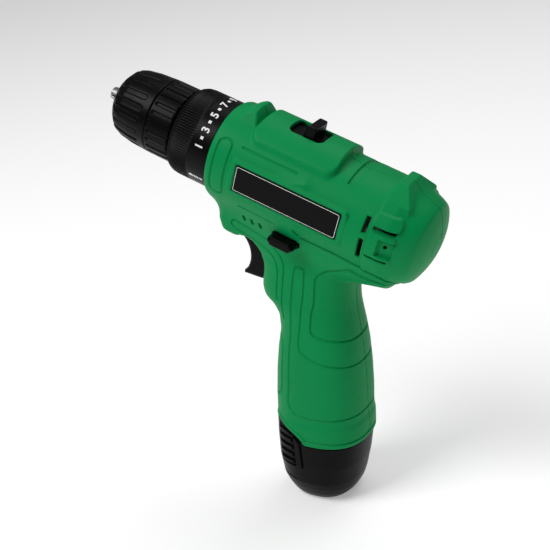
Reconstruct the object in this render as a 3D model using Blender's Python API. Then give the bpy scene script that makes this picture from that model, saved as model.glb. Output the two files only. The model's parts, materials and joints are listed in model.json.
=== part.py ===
"""Cordless drill: a 12 V class drill driver with a stick battery in its grip.

The drill stands on the flat foot of its battery.  The origin is the centre of that foot, +Z is up,
the nose points to -X and is pitched up by TILT, and the left side faces -Y.

Three sets of coordinates share one point on the spindle's axis, and all are in drawing units:
  tool   x along the spindle towards the tail, y to the right side, z square to the spindle;
         everything in the barrel is drawn like this and hung on the empty "tool_axis"
  grip   the world's own directions; the grip and the outside of the battery are drawn in level
         sections like this, and the terminals hang on the empty "grip_frame"
  pack   the same, leaning with the battery's own axis; the cells and the stem that slides into
         the grip are drawn like this and hung on the empty "pack_axis"
"""

import math

import bmesh
import bpy
from mathutils import Matrix, Vector

UNIT = 0.00103                   # metres in one drawing unit: it leaves room for 18 mm cells in the grip
TILT = math.radians(20.0)        # nose-up pitch of the spindle when the drill stands on its battery
LEAN = math.radians(6.0)         # lean of the battery's axis, which is also the way it slides out
AXIS_X = 19.5                    # shared point on the spindle, from the centre of the battery's foot
AXIS_Z = 165.0
GAP = 0.3                        # clearance between pieces that touch
WALL = 2.2                       # moulded wall of the housing
HALF_SPAN = 60.0                 # reach of a cutter that has to pass right through the body

# Chuck and clutch ring, tool coordinates
JAW_TIP_X = -128.4
NOSE_RIM_X = -120.6
SEAM_X = -97.0                   # seam between the chuck's front and rear sleeves
CHUCK_BACK_X = -83.2
CHUCK_R = 19.2
COLLAR_FRONT_X = -82.4
COLLAR_BACK_X = -58.9
COLLAR_R = 22.2
NOSE_X = -58.6                   # front face of the housing
JAW_ANGLE = math.radians(17.0)
JAW_R = 3.0
JAW_LENGTH = 24.0
JAW_SPLIT = 0.18                 # each jaw stands this far out from the spindle's axis when closed
JAWS = 3

# Gear train: sun, planets and ring of one module
MODULE = 0.7
SUN_TEETH = 12
PLANET_TEETH = 15
RING_TEETH = 42
PLANETS = 3
GEAR_X = -36.0
GEAR_WIDTH = 8.0

# Motor
CAN_R = 17.9
CAN_FRONT_X = -22.0
CAN_BACK_X = 32.0

# Grip and battery, grip coordinates
RIM_Z = -129.0                   # lower edge of the housing's collar
NOTCH_Z = -118.0                 # the same edge at the front, above the latches
FOOT_Z = -AXIS_Z
STEM_TOP_Z = -88.5               # pack coordinates

GREEN = (0.010, 0.262, 0.085, 1.0)
BLACK = (0.012, 0.012, 0.013, 1.0)
DARK = (0.035, 0.035, 0.038, 1.0)
STEEL = (0.55, 0.55, 0.56, 1.0)
BRASS = (0.62, 0.45, 0.18, 1.0)
COPPER = (0.60, 0.27, 0.13, 1.0)
BLUE = (0.05, 0.20, 0.45, 1.0)


# ---------------------------------------------------------------- scene and materials

def clear_scene():
    for obj in list(bpy.data.objects):
        bpy.data.objects.remove(obj, do_unlink=True)


def make_material(name, colour, roughness, metallic=0.0):
    material = bpy.data.materials.new(name)
    material.use_nodes = True
    shader = material.node_tree.nodes["Principled BSDF"]
    shader.inputs["Base Color"].default_value = colour
    shader.inputs["Roughness"].default_value = roughness
    shader.inputs["Metallic"].default_value = metallic
    material.diffuse_color = colour
    return material


def make_empty(name, location, rotation_y=0.0):
    empty = bpy.data.objects.new(name, None)
    empty.location = Vector(location) * UNIT
    empty.rotation_euler = (0.0, rotation_y, 0.0)
    bpy.context.scene.collection.objects.link(empty)
    return empty


# ---------------------------------------------------------------- mesh helpers, drawing units

def solid(verts, faces):
    """A closed mesh with its faces turned outwards."""
    mesh = bpy.data.meshes.new("solid")
    mesh.from_pydata([Vector(v) * UNIT for v in verts], [], faces)
    work = bmesh.new()
    work.from_mesh(mesh)
    bmesh.ops.recalc_face_normals(work, faces=work.faces)
    work.to_mesh(mesh)
    work.free()
    return mesh


def loft(rings):
    """Closed solid through rings of equal point counts, with flat caps."""
    count = len(rings[0])
    verts = [point for ring in rings for point in ring]
    faces = [tuple(range(count)), tuple(range(len(verts) - count, len(verts)))]
    for level in range(len(rings) - 1):
        low = level * count
        for i in range(count):
            j = (i + 1) % count
            faces.append((low + i, low + j, low + count + j))
            faces.append((low + i, low + count + j, low + count + i))
    return solid(verts, faces)


def turned(profile, segments=40):
    """Solid of revolution about the tool's x axis; profile is a closed outline of (x, r) points."""
    count = len(profile)
    verts = []
    for step in range(segments):
        angle = 2.0 * math.pi * step / segments
        verts += [(x, r * math.cos(angle), r * math.sin(angle)) for x, r in profile]
    faces = []
    for step in range(segments):
        near = step * count
        far = (step + 1) % segments * count
        for i in range(count):
            j = (i + 1) % count
            faces.append((near + i, near + j, far + j, far + i))
    return solid(verts, faces)


def rod(x0, x1, radius, segments=24, centre=(0.0, 0.0)):
    """Cylinder along x between x0 and x1."""
    rings = []
    for x in (x0, x1):
        ring = []
        for step in range(segments):
            angle = 2.0 * math.pi * step / segments
            ring.append((x, centre[0] + radius * math.cos(angle), centre[1] + radius * math.sin(angle)))
        rings.append(ring)
    return loft(rings)


def post(low, high, radius, centre, segments=24):
    """Cylinder along z between low and high, about centre (x, y)."""
    rings = []
    for z in (low, high):
        ring = []
        for step in range(segments):
            angle = 2.0 * math.pi * step / segments
            ring.append((centre[0] + radius * math.cos(angle), centre[1] + radius * math.sin(angle), z))
        rings.append(ring)
    return loft(rings)


def block(low, high):
    """Box between two opposite corners."""
    (x0, y0, z0), (x1, y1, z1) = low, high
    bottom = [(x0, y0, z0), (x1, y0, z0), (x1, y1, z0), (x0, y1, z0)]
    top = [(x0, y0, z1), (x1, y0, z1), (x1, y1, z1), (x0, y1, z1)]
    return loft([bottom, top])


def slab(outline, y0, y1):
    """Outline of (x, z) points drawn through from y0 to y1."""
    return loft([[(x, y, z) for x, z in outline] for y in (y0, y1)])


def arc(centre, radius, start, end, steps):
    """Points on an arc in a plane, angles in degrees."""
    points = []
    for step in range(steps + 1):
        angle = math.radians(start + (end - start) * step / steps)
        points.append((centre[0] + radius * math.cos(angle), centre[1] + radius * math.sin(angle)))
    return points


def rounded_rectangle(x0, x1, y0, y1, radius, steps=4):
    points = arc((x1 - radius, y1 - radius), radius, 0, 90, steps)
    points += arc((x0 + radius, y1 - radius), radius, 90, 180, steps)
    points += arc((x0 + radius, y0 + radius), radius, 180, 270, steps)
    points += arc((x1 - radius, y0 + radius), radius, 270, 360, steps)
    return points


def signed_power(value, power):
    return math.copysign(abs(value) ** power, value)


def oval(half_a, half_low, half_high, exponent, segments):
    """Superellipse of half width half_a, with different half heights below and above."""
    points = []
    for step in range(segments):
        angle = 2.0 * math.pi * step / segments
        a = half_a * signed_power(math.cos(angle), 2.0 / exponent)
        b = signed_power(math.sin(angle), 2.0 / exponent)
        points.append((a, b * (half_high if b > 0 else half_low)))
    return points


def copy_at(mesh, offset=(0.0, 0.0, 0.0), rotation=None):
    """Copy of a mesh, turned and then moved."""
    moved = mesh.copy()
    if rotation is not None:
        moved.transform(rotation)
    moved.transform(Matrix.Translation(Vector(offset) * UNIT))
    return moved


def combine(base, operation, *tools):
    """Union, difference or intersection of a mesh with others, by exact Booleans."""
    scene_objects = bpy.context.scene.collection.objects
    subject = bpy.data.objects.new("subject", base)
    scene_objects.link(subject)
    cutters = []
    for tool in tools:
        cutter = bpy.data.objects.new("cutter", tool)
        cutter.hide_render = True
        cutter.display_type = 'WIRE'
        scene_objects.link(cutter)
        cutters.append(cutter)
        modifier = subject.modifiers.new("cut", 'BOOLEAN')
        modifier.object = cutter
        modifier.operation = operation
        modifier.solver = 'EXACT'
    depsgraph = bpy.context.evaluated_depsgraph_get()
    result = bpy.data.meshes.new_from_object(subject.evaluated_get(depsgraph))
    for extra in [subject] + cutters:
        bpy.data.objects.remove(extra, do_unlink=True)
    return result


def union(base, *tools):
    return combine(base, 'UNION', *tools)


def cut(base, *tools):
    return combine(base, 'DIFFERENCE', *tools)


def common(base, *tools):
    return combine(base, 'INTERSECT', *tools)


def part(name, mesh, material, parent, origin=(0.0, 0.0, 0.0), smooth=40.0):
    """Names a mesh as one sub-part; origin is where its own axes sit, in its parent's frame."""
    mesh.name = name
    mesh.transform(Matrix.Translation(-Vector(origin) * UNIT))
    mesh.materials.clear()
    mesh.materials.append(material)
    mesh.shade_smooth()
    mesh.set_sharp_from_angle(angle=math.radians(smooth))
    obj = bpy.data.objects.new(name, mesh)
    obj.parent = parent
    obj.location = Vector(origin) * UNIT
    bpy.context.scene.collection.objects.link(obj)
    return obj


# ---------------------------------------------------------------- housing shapes

# Barrel sections, tool coordinates: x, half width, height above and below the spindle
BARREL = [
    (NOSE_X, 23.3, 23.2, 23.3),
    (-57.4, 24.3, 24.2, 24.3),
    (-50.0, 24.5, 24.2, 24.5),
    (-20.0, 24.7, 23.3, 24.7),
    (5.0, 24.9, 22.6, 24.8),
    (30.0, 24.9, 22.4, 24.8),
]
TAIL = [
    (28.0, 25.7, 23.3, 26.6),
    (29.0, 26.0, 23.6, 27.0),
    (36.0, 25.9, 23.0, 27.0),
    (41.0, 24.4, 20.9, 25.6),
    (46.0, 22.0, 18.7, 23.0),
    (49.6, 19.6, 17.3, 20.4),
    (52.4, 13.4, 12.1, 13.6),
    (54.1, 6.4, 6.0, 6.4),
]
# Level sections of the grip: Z, front X, rear X, half width, exponent of the superellipse
GRIP = [
    (4.0, -40.0, 14.0, 13.0, 2.6),
    (-14.0, -41.0, 17.0, 14.0, 2.8),
    (-22.0, -40.6, 14.5, 15.0, 3.0),
    (-31.0, -39.8, 10.2, 15.8, 3.0),
    (-38.0, -40.2, 8.4, 16.4, 2.9),
    (-46.0, -41.2, 7.2, 17.0, 2.8),
    (-50.5, -40.6, 6.9, 17.4, 2.7),
    (-54.5, -36.4, 6.9, 17.9, 2.5),
    (-60.0, -33.4, 7.4, 18.4, 2.45),
    (-68.0, -32.7, 8.1, 19.1, 2.6),
    (-78.0, -34.8, 8.9, 20.0, 2.7),
    (-90.0, -36.8, 9.2, 20.8, 2.7),
    (-104.0, -38.4, 9.0, 21.2, 2.7),
    (-116.0, -39.4, 8.4, 21.5, 2.6),
    (-118.5, -40.8, 9.1, 22.3, 2.5),
    (-127.5, -41.2, 8.7, 22.4, 2.5),
    (RIM_Z, -40.8, 8.4, 22.1, 2.5),
]
PACK = [
    (NOTCH_Z - GAP, -40.0, 8.6, 21.6, 2.5),
    (RIM_Z, -40.7, 7.6, 21.6, 2.5),
    (-142.0, -41.0, 5.2, 21.0, 2.5),
    (-153.0, -40.2, 2.6, 19.9, 2.35),
    (-157.0, -38.8, 1.2, 18.6, 2.35),
    (-161.0, -36.6, -1.2, 16.8, 2.35),
    (-164.0, -34.6, -4.2, 14.7, 2.35),
    (FOOT_Z, -33.4, -5.6, 13.4, 2.35),
]
BARREL_EXPONENT = 2.12
BARREL_SEGMENTS = 32
GRIP_SEGMENTS = 28


def barrel_solid(sections, inset=0.0):
    rings = []
    for x, side, above, below in sections:
        ring = oval(side - inset, below - inset, above - inset, BARREL_EXPONENT, BARREL_SEGMENTS)
        rings.append([(x, y, z) for y, z in ring])
    return loft(rings)


def grip_solid(sections, inset=0.0):
    rings = []
    for z, front, rear, side, exponent in sections:
        middle = (front + rear) / 2
        ring = oval((rear - front) / 2 - inset, side - inset, side - inset, exponent, GRIP_SEGMENTS)
        rings.append([(middle + x, y, z) for x, y in ring])
    return loft(rings)


def to_tool(mesh):
    """Grip coordinates rewritten as tool coordinates."""
    moved = mesh.copy()
    moved.transform(Matrix.Rotation(-TILT, 4, 'Y'))
    return moved


def stacked_rectangles(levels, radius):
    """Raised block with sloping sides: levels of (z, x0, x1, half width)."""
    rings = []
    for z, x0, x1, half in levels:
        rings.append([(x, y, z) for x, y in rounded_rectangle(x0, x1, -half, half, radius)])
    return loft(rings)


def selector_pod():
    return stacked_rectangles([(10.0, -43.8, 3.6, 18.0), (19.6, -42.6, 2.6, 17.3), (22.6, -42.0, 2.2, 14.4),
                               (24.6, -41.6, 2.0, 11.4), (26.2, -41.2, 1.8, 7.6), (27.0, -40.8, 1.4, 4.4)], 4.0)


def front_bump():
    return stacked_rectangles([(10.0, -56.4, -41.0, 16.0), (21.6, -54.6, -43.0, 11.2), (24.4, -53.2, -43.4, 9.4),
                               (26.4, -51.6, -44.6, 8.0), (28.4, -48.6, -45.6, 5.6)], 0.5)


def rear_bump():
    return stacked_rectangles([(10.0, 27.4, 41.8, 17.2), (19.4, 27.8, 40.4, 15.8), (24.8, 28.8, 35.2, 8.4),
                               (25.8, 29.4, 34.0, 6.8)], 1.0)


def flare():
    """Back of the grip's head, which runs out level under the tail."""
    rings = []
    for x, half, drop in ((2.0, 17.4, 28.0), (14.0, 18.8, 24.0), (24.0, 19.6, 20.4), (36.0, 19.6, 16.0),
                          (41.0, 19.0, 13.8), (42.2, 18.0, 12.6)):
        ring = oval(half, drop, 5.0, BARREL_EXPONENT, GRIP_SEGMENTS)
        rings.append([(x, y, z - 14.0) for y, z in ring])
    return loft(rings)


def keel():
    """Chin under the nose, in front of the trigger."""
    return stacked_rectangles([(-38.0, -47.8, -12.0, 10.6), (-36.4, -49.6, -12.0, 12.2), (-31.0, -52.0, -12.0, 13.2),
                               (-10.0, -54.4, -12.0, 14.0)], 3.0)


def label_boss(side):
    """Flat raised field around the label."""
    low, high = sorted((side * 18.0, side * 24.9))
    return block((-43.5, low, -8.4), (15.0, high, 8.8))


# Line along which the collar's lower edge lifts above the latches, grip coordinates
NOTCH_LINE = [(-18.9, RIM_Z), (-19.6, -126.6), (-23.2, -123.6), (-33.4, NOTCH_Z)]


def notch_cutter():
    outline = [(-60.0, RIM_Z - 20.0), (-18.3, RIM_Z - 20.0)] + NOTCH_LINE + [(-60.0, NOTCH_Z)]
    return slab(outline, -HALF_SPAN, HALF_SPAN)


def above_seam():
    """Space above the seam between the battery and the housing's collar."""
    line = [(x - GAP, z - GAP) for x, z in NOTCH_LINE]
    outline = [(60.0, RIM_Z - GAP)] + line + [(-60.0, NOTCH_Z - GAP), (-60.0, -60.0), (60.0, -60.0)]
    return slab(outline, -HALF_SPAN, HALF_SPAN)


def housing_outside():
    body = cut(to_tool(grip_solid(GRIP)), to_tool(notch_cutter()))
    shape = union(barrel_solid(BARREL), barrel_solid(TAIL), body, selector_pod(), front_bump(), rear_bump(),
                  flare(), keel(), label_boss(-1), label_boss(1))
    return cut(shape, slab(TRIGGER_ARCH, -HALF_SPAN, HALF_SPAN))


def housing_inside():
    """Everything the two shells leave free for the works."""
    front = (NOSE_X + 3.0,) + BARREL[1][1:]
    barrel = barrel_solid([front] + BARREL[2:], WALL)
    rear = (TAIL[-3][0] - 1.6,) + TAIL[-3][1:]
    tail = barrel_solid([(27.0,) + TAIL[0][1:]] + TAIL[1:-3] + [rear], WALL)
    bore = rod(NOSE_X - 5.0, NOSE_X + 10.0, 20.3, 40)
    grip = [section for section in GRIP if section[0] < 0.0] + [(RIM_Z - 8.0,) + GRIP[-1][1:]]
    track = stacked_rectangles([(20.0, -36.4, -3.2, 7.2), (24.9, -36.4, -3.2, 7.2)], 1.0)
    return union(barrel, tail, bore, track, to_tool(grip_solid(grip, WALL)))


def housing_openings():
    """Slots and holes through the walls."""
    slots = [slab(TRIGGER_MOUTH, -8.2, 8.2)]
    slots.append(stacked_rectangles([(18.0, -28.8, -10.8, 7.0), (30.0, -28.8, -10.8, 7.0)], 3.0))
    slots.append(button_solid(GAP, -HALF_SPAN, HALF_SPAN))
    for side in (-1, 1):
        low, high = sorted((side * 15.0, side * 40.0))
        slots.append(block((24.5, low, 3.8), (26.7, high, 11.4)))
        slots.append(block((24.5, low, -9.4), (26.7, high, 0.9)))
        slots.append(block((29.5, low, 7.3), (40.1, high, 9.5)))
        slots.append(block((28.8, low, -6.4), (39.6, high, -4.8)))
        low, high = sorted((side * 24.0, side * 40.0))
        slots.append(block((-41.6, low, -6.9), (12.9, high, 7.3)))
    return slots


# ---------------------------------------------------------------- controls

# Edge of the side walls behind the trigger, tool coordinates
TRIGGER_ARCH = [(-60.0, -70.0), (-60.0, -40.0), (-41.4, -38.6), (-38.4, -35.8), (-34.6, -34.6), (-30.6, -34.9),
                (-27.4, -36.6), (-25.2, -39.2), (-23.6, -42.6), (-22.6, -47.0), (-22.2, -56.6), (-24.6, -62.5),
                (-30.0, -70.0)]
# Slot between the side walls that the trigger moves in
TRIGGER_MOUTH = [(-60.0, -60.0), (-44.0, -34.4), (-42.0, -31.0), (-12.0, -31.0), (-12.0, -54.4), (-20.0, -57.6),
                 (-40.0, -60.0)]
BUTTON = (-12.0, -21.9)          # centre of the reversing button, tool x and z


def button_solid(grow, y0, y1):
    """Long octagon of the reversing button."""
    x, z = BUTTON
    half_x = 7.0 + grow
    half_z = 2.7 + grow
    corner = 1.9
    outline = [(x - half_x, z - half_z + corner), (x - half_x + corner, z - half_z),
               (x + half_x - corner, z - half_z), (x + half_x, z - half_z + corner),
               (x + half_x, z + half_z - corner), (x + half_x - corner, z + half_z),
               (x - half_x + corner, z + half_z), (x - half_x, z + half_z - corner)]
    return slab(outline, y0, y1)


def trigger_outline():
    """Side view of the trigger, tool coordinates: hollow front, toe at the bottom."""
    front = arc((-46.6, -50.4), 14.4, 58.0, -24.0, 8)
    return [(-41.6, -36.2)] + front + [(-34.2, -56.8), (-33.4, -58.0), (-24.0, -56.6), (-17.4, -54.6),
                                       (-14.8, -52.0), (-14.8, -34.6), (-16.8, -32.6), (-38.6, -32.6)]


def gear_outline(teeth, module, height_out, height_in, tooth, offset=0.0):
    """Trapezoid teeth on the pitch circle; tooth is the tooth's share of the pitch."""
    pitch_radius = module * teeth / 2.0
    points = []
    for index in range(teeth):
        middle = 2.0 * math.pi * (index + offset) / teeth
        half = math.pi / teeth
        for radius, share in ((pitch_radius - height_in, -1.15 * tooth), (pitch_radius + height_out, -0.55 * tooth),
                              (pitch_radius + height_out, 0.55 * tooth), (pitch_radius - height_in, 1.15 * tooth)):
            angle = middle + half * share
            points.append((radius * math.cos(angle), radius * math.sin(angle)))
    return points


def gear_solid(outline, x0, x1, centre=(0.0, 0.0)):
    return loft([[(x, centre[0] + y, centre[1] + z) for y, z in outline] for x in (x0, x1)])


# ---------------------------------------------------------------- groups of parts

def build_housing(frame, green, steel):
    bosses = [y_rod(x, z, -reach, reach, BOSS_R) for x, z, reach in SCREWS]
    whole = union(cut(housing_outside(), housing_inside()), *bosses)
    whole = cut(whole, *housing_openings())
    for name, side in (("left_housing", -1), ("right_housing", 1)):
        low, high = sorted((side * GAP / 2, side * HALF_SPAN))
        shell = common(whole, block((-90.0, low, -200.0), (90.0, high, 60.0)))
        holes = [screw_hole(place, side) for place in SCREWS]
        part(name, cut(shell, *holes), green, frame)
    for index, place in enumerate(SCREWS, 1):
        part("housing_screw_%d" % index, housing_screw(place), steel, frame)


# Housing screws, tool coordinates: x, z and how far out the bosses reach inside the walls
SCREWS = [
    (-49.0, -30.2, 12.0), (-48.6, 22.6, 10.5), (43.6, 13.0, 17.5), (43.6, -14.0, 17.5),
    (14.3, -33.2, 10.6), (-3.4, -58.0, 15.1), (20.8, -62.4, 13.7), (2.0, -76.0, 14.9),
]
BOSS_R = 2.9


def screw_hole(place, side):
    """Pilot hole in the left shell, clearance hole and counterbore in the right one."""
    x, z, reach = place
    if side < 0:
        return y_rod(x, z, -7.0, 5.0, 1.4)
    return union(y_rod(x, z, -5.0, 30.0, 1.4), y_rod(x, z, 5.6, 40.0, 2.3))


def y_rod(x, z, y0, y1, radius, segments=12):
    outline = [(x + a, z + b) for a, b in arc((0.0, 0.0), radius, 0.0, 360.0 * (segments - 1) / segments,
                                              segments - 1)]
    return slab(outline, y0, y1)


def housing_screw(place):
    x, z, reach = place
    head = y_rod(x, z, 5.9, 8.0, 2.0)
    socket = y_rod(x, z, 6.9, 10.0, 1.0, 6)
    return cut(union(y_rod(x, z, -6.5, 6.4, 1.05), head), socket)


def build_labels(frame, black):
    for name, side in (("label_left", -1), ("label_right", 1)):
        low, high = sorted((side * 24.3, side * 24.8))
        outline = rounded_rectangle(-41.3, 12.6, -6.6, 7.0, 0.8, 2)
        part(name, slab(outline, low, high), black, frame)


def build_controls(frame, black, dark, steel):
    part("trigger", slab(trigger_outline(), -7.8, 7.8), black, frame, (-14.8, 0.0, -44.0))
    switch = block((-5.8, -9.0, -50.0), (11.2, 9.0, -27.2))
    plunger = rod(-9.6, -5.0, 2.2, 16, (0.0, -38.0))
    part("switch_body", union(switch, plunger), dark, frame)
    part("trigger_spring", coil(-14.5, -6.1, 3.4, 0.45, 5, (0.0, -46.0)), steel, frame, (-6.1, 0.0, -46.0))
    part("direction_button", button_solid(0.0, -24.2, 21.0), black, frame, (BUTTON[0], 0.0, BUTTON[1]))
    plate = stacked_rectangles([(23.2, -29.6, -4.0, 6.9), (24.5, -29.6, -4.0, 6.9)], 0.8)
    knob = stacked_rectangles([(23.6, -19.8, -12.8, 6.2), (27.0, -19.2, -13.2, 5.8), (31.6, -18.6, -13.8, 4.6)], 1.0)
    part("gear_selector", union(plate, knob), black, frame, (-16.4, 0.0, 24.0))


def coil(x0, x1, radius, wire, turns, centre, steps=8, sides=4):
    """Compression spring along x."""
    rings = []
    total = turns * steps
    for step in range(total + 1):
        angle = 2.0 * math.pi * step / steps
        x = x0 + wire + (x1 - x0 - 2.0 * wire) * step / total
        outward = Vector((0.0, math.cos(angle), math.sin(angle)))
        middle = Vector((x, centre[0], centre[1])) + radius * outward
        ring = []
        for side in range(sides):
            turn = 2.0 * math.pi * side / sides
            ring.append(middle + wire * (math.cos(turn) * outward + math.sin(turn) * Vector((1.0, 0.0, 0.0))))
        rings.append(ring)
    return loft(rings)


def build_gearbox(frame, dark, steel):
    nose = turned([(-78.6, 10.2), (-57.4, 10.2), (-57.4, 15.2), (-24.0, 15.2), (-24.0, 19.6), (-57.0, 19.6),
                   (-57.0, 13.4), (-78.6, 13.4)], 28)
    pocket = turned([(GEAR_X - 0.6, 10.0), (-23.0, 10.0), (-23.0, 17.2), (GEAR_X - 0.6, 17.2)], 36)
    part("gearbox_housing", cut(nose, pocket), dark, frame)
    blank = rod(GEAR_X, GEAR_X + GEAR_WIDTH, 16.9, 42)
    teeth = gear_outline(RING_TEETH, MODULE, 0.85, 0.5, 0.6)
    part("ring_gear", cut(blank, gear_solid(teeth, GEAR_X - 2.0, GEAR_X + GEAR_WIDTH + 2.0)), steel, frame)
    bearing = turned([(-78.4, 5.38), (-73.0, 5.38), (-73.0, 9.9), (-78.4, 9.9)], 28)
    part("spindle_bearing", bearing, steel, frame)
    part("clutch_washer", turned([(-62.6, 14.2), (-61.0, 14.2), (-61.0, 18.4), (-62.6, 18.4)], 32), steel, frame)
    part("clutch_spring", coil(-74.0, -63.0, 16.4, 0.7, 3, (0.0, 0.0), 14), steel, frame)


def build_motor(frame, steel, dark, brass):
    can = turned([(CAN_FRONT_X, 6.3), (CAN_FRONT_X, CAN_R), (CAN_BACK_X, CAN_R), (CAN_BACK_X, 16.3),
                  (CAN_FRONT_X + 1.6, 16.3), (CAN_FRONT_X + 1.6, 6.3)], 36)
    part("motor_can", can, steel, frame)
    for index, start in enumerate((20.0, 200.0), 1):
        outer = [(y, z) for y, z in arc((0.0, 0.0), 16.0, start, start + 140.0, 12)]
        inner = [(y, z) for y, z in arc((0.0, 0.0), 12.8, start + 140.0, start, 12)]
        magnet = loft([[(x, y, z) for y, z in outer + inner] for x in (-14.0, 18.0)])
        part("motor_magnet_%d" % index, magnet, dark, frame)
    cap = turned([(CAN_BACK_X + GAP, 3.4), (38.0, 3.4), (38.0, 9.0), (36.0, 17.6), (CAN_BACK_X + GAP, 17.6)], 36)
    part("motor_end_cap", cap, dark, frame)
    bush = turned([(CAN_FRONT_X - 3.0, 1.75), (CAN_FRONT_X + 1.6, 1.75), (CAN_FRONT_X + 1.6, 6.0),
                   (CAN_FRONT_X - 3.0, 6.0)], 24)
    part("motor_front_bush", bush, brass, frame)


def build_rotor(frame, steel, dark, brass, copper):
    part("motor_shaft", rod(-25.5, 40.5, 1.7, 20), steel, frame)
    slots = [rod(-14.0, 16.0, 2.2, 10, (10.6 * math.cos(math.tau * i / 5), 10.6 * math.sin(math.tau * i / 5)))
             for i in range(5)]
    core = turned([(-12.0, 2.0), (14.0, 2.0), (14.0, 12.2), (-12.0, 12.2)], 30)
    part("rotor_core", cut(core, *slots), copper, frame)
    part("commutator", turned([(17.5, 2.0), (28.0, 2.0), (28.0, 6.0), (17.5, 6.0)], 24), brass, frame)
    hub = turned([(-19.6, 2.0), (-14.0, 2.0), (-14.0, 5.0), (-19.6, 5.0)], 24)
    blades = [copy_at(block((-19.2, -0.6, 4.0), (-14.4, 0.6, 12.0)), rotation=Matrix.Rotation(
        math.tau * i / 8, 4, 'X')) for i in range(8)]
    part("cooling_fan", union(hub, *blades), dark, frame)
    outline = gear_outline(SUN_TEETH, MODULE, 0.6, 0.75, 0.42)
    sun = cut(gear_solid(outline, GEAR_X + 0.4, -26.0), rod(-30.0, -20.0, 1.75, 16))
    part("sun_pinion", sun, steel, frame)


def build_planets(frame, dark):
    orbit = MODULE * (SUN_TEETH + PLANET_TEETH) / 2.0
    for index in range(PLANETS):
        angle = math.tau * index / PLANETS
        centre = (orbit * math.cos(angle), orbit * math.sin(angle))
        # a tooth gap of the planet faces the sun's tooth at this angle
        turn = angle + math.pi + math.pi / PLANET_TEETH
        outline = []
        for y, z in gear_outline(PLANET_TEETH, MODULE, 0.6, 0.75, 0.42):
            outline.append((y * math.cos(turn) - z * math.sin(turn), y * math.sin(turn) + z * math.cos(turn)))
        gear = gear_solid(outline, GEAR_X + 0.2, GEAR_X + GEAR_WIDTH - 0.2, centre)
        gear = cut(gear, rod(GEAR_X - 5.0, GEAR_X + GEAR_WIDTH + 5.0, 1.75, 16, centre))
        part("planet_gear_%d" % (index + 1), gear, dark, frame, (GEAR_X, centre[0], centre[1]))


def build_spindle(frame, steel, black):
    orbit = MODULE * (SUN_TEETH + PLANET_TEETH) / 2.0
    plate = rod(GEAR_X - 6.0, GEAR_X - 0.3, 14.4, 36)
    pins = []
    for index in range(PLANETS):
        angle = math.tau * index / PLANETS
        centre = (orbit * math.cos(angle), orbit * math.sin(angle))
        pins.append(rod(GEAR_X - 3.0, GEAR_X + GEAR_WIDTH - 0.4, 1.6, 16, centre))
    part("planet_carrier", union(plate, *pins), steel, frame)
    part("output_spindle", rod(GEAR_X - 6.3, -100.0, 5.3, 24), steel, frame)

    body = turned([(NOSE_RIM_X - 1.0, 5.4), (NOSE_RIM_X - 1.6, 6.2), (NOSE_RIM_X - 1.6, 8.6), (NOSE_RIM_X, 10.6),
                   (-117.4, 12.4), (-110.0, 13.0), (-109.4, 14.6), (CHUCK_BACK_X, 14.6), (CHUCK_BACK_X, 5.6),
                   (-101.0, 5.6), (-101.0, 6.6), (-117.0, 6.6)], 28)
    channels = [jaw_rod(index, JAW_R + GAP, 70.0, -5.0) for index in range(JAWS)]
    part("chuck_body", cut(body, *channels), steel, frame)
    sleeve = turned([(SEAM_X + 0.4, 17.7), (SEAM_X + 0.4, CHUCK_R), (-85.0, CHUCK_R), (CHUCK_BACK_X, CHUCK_R - 2.0),
                     (CHUCK_BACK_X, 15.0), (-86.0, 15.0), (-86.6, 17.7)], 32)
    part("rear_sleeve", sleeve, black, frame)
    part("chuck_screw", union(rod(-103.0, -100.4, 3.6, 16), rod(-104.6, -102.5, 4.6, 16)), steel, frame)


def jaw_rod(index, radius, length, start):
    """Round jaw blank, sloping in towards the spindle at the front."""
    shape = rod(start, length, radius, 16)
    slope = Matrix.Rotation(JAW_ANGLE, 4, 'Y')
    spin = Matrix.Rotation(math.tau * index / JAWS + math.pi / 2, 4, 'X')
    tip = Matrix.Translation(Vector((JAW_TIP_X, 0.0, 0.0)) * UNIT)
    inner = Matrix.Translation(Vector((0.0, 0.0, -JAW_R)) * UNIT)
    shape.transform(tip @ spin @ slope @ inner)
    return shape


def build_sleeve(frame, steel, black):
    cone = [(NOSE_RIM_X + 0.2, 11.2), (NOSE_RIM_X, 12.0), (NOSE_RIM_X + 0.8, 13.2), (-117.0, 16.4), (-113.8, 17.6),
            (-107.0, 18.7), (SEAM_X - 0.4, CHUCK_R), (SEAM_X - 0.4, 17.6), (-107.0, 17.2), (-109.0, 16.2),
            (-116.2, 14.8), (-118.0, 13.2)]
    part("front_sleeve", turned(cone, 32), black, frame)
    part("nut_ring", turned([(-115.0, 13.5), (-110.6, 13.5), (-110.6, 15.4), (-115.0, 14.6)], 28), steel, frame)


def jaw_sector(index):
    """Third of the space around the spindle that belongs to one jaw."""
    middle = math.tau * index / JAWS
    apex = (JAW_SPLIT * math.cos(middle), JAW_SPLIT * math.sin(middle))
    points = [apex]
    for side in (1, -1):
        edge = middle + side * math.pi / JAWS
        points.append((apex[0] + 30.0 * math.cos(edge), apex[1] + 30.0 * math.sin(edge)))
    return loft([[(x, y, z) for y, z in points] for x in (JAW_TIP_X, -90.0)])


def build_jaws(frame, steel):
    ground = turned([(JAW_TIP_X, 0.0), (JAW_TIP_X, 3.0), (-121.0, 4.6), (-117.0, 8.4), (-104.0, 21.0),
                     (-90.0, 21.0), (-90.0, 0.0)], 24)
    for index in range(JAWS):
        blank = jaw_rod(index, JAW_R, JAW_LENGTH, -1.0)
        part("jaw_%d" % (index + 1), common(blank, jaw_sector(index), ground), steel, frame)


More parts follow.
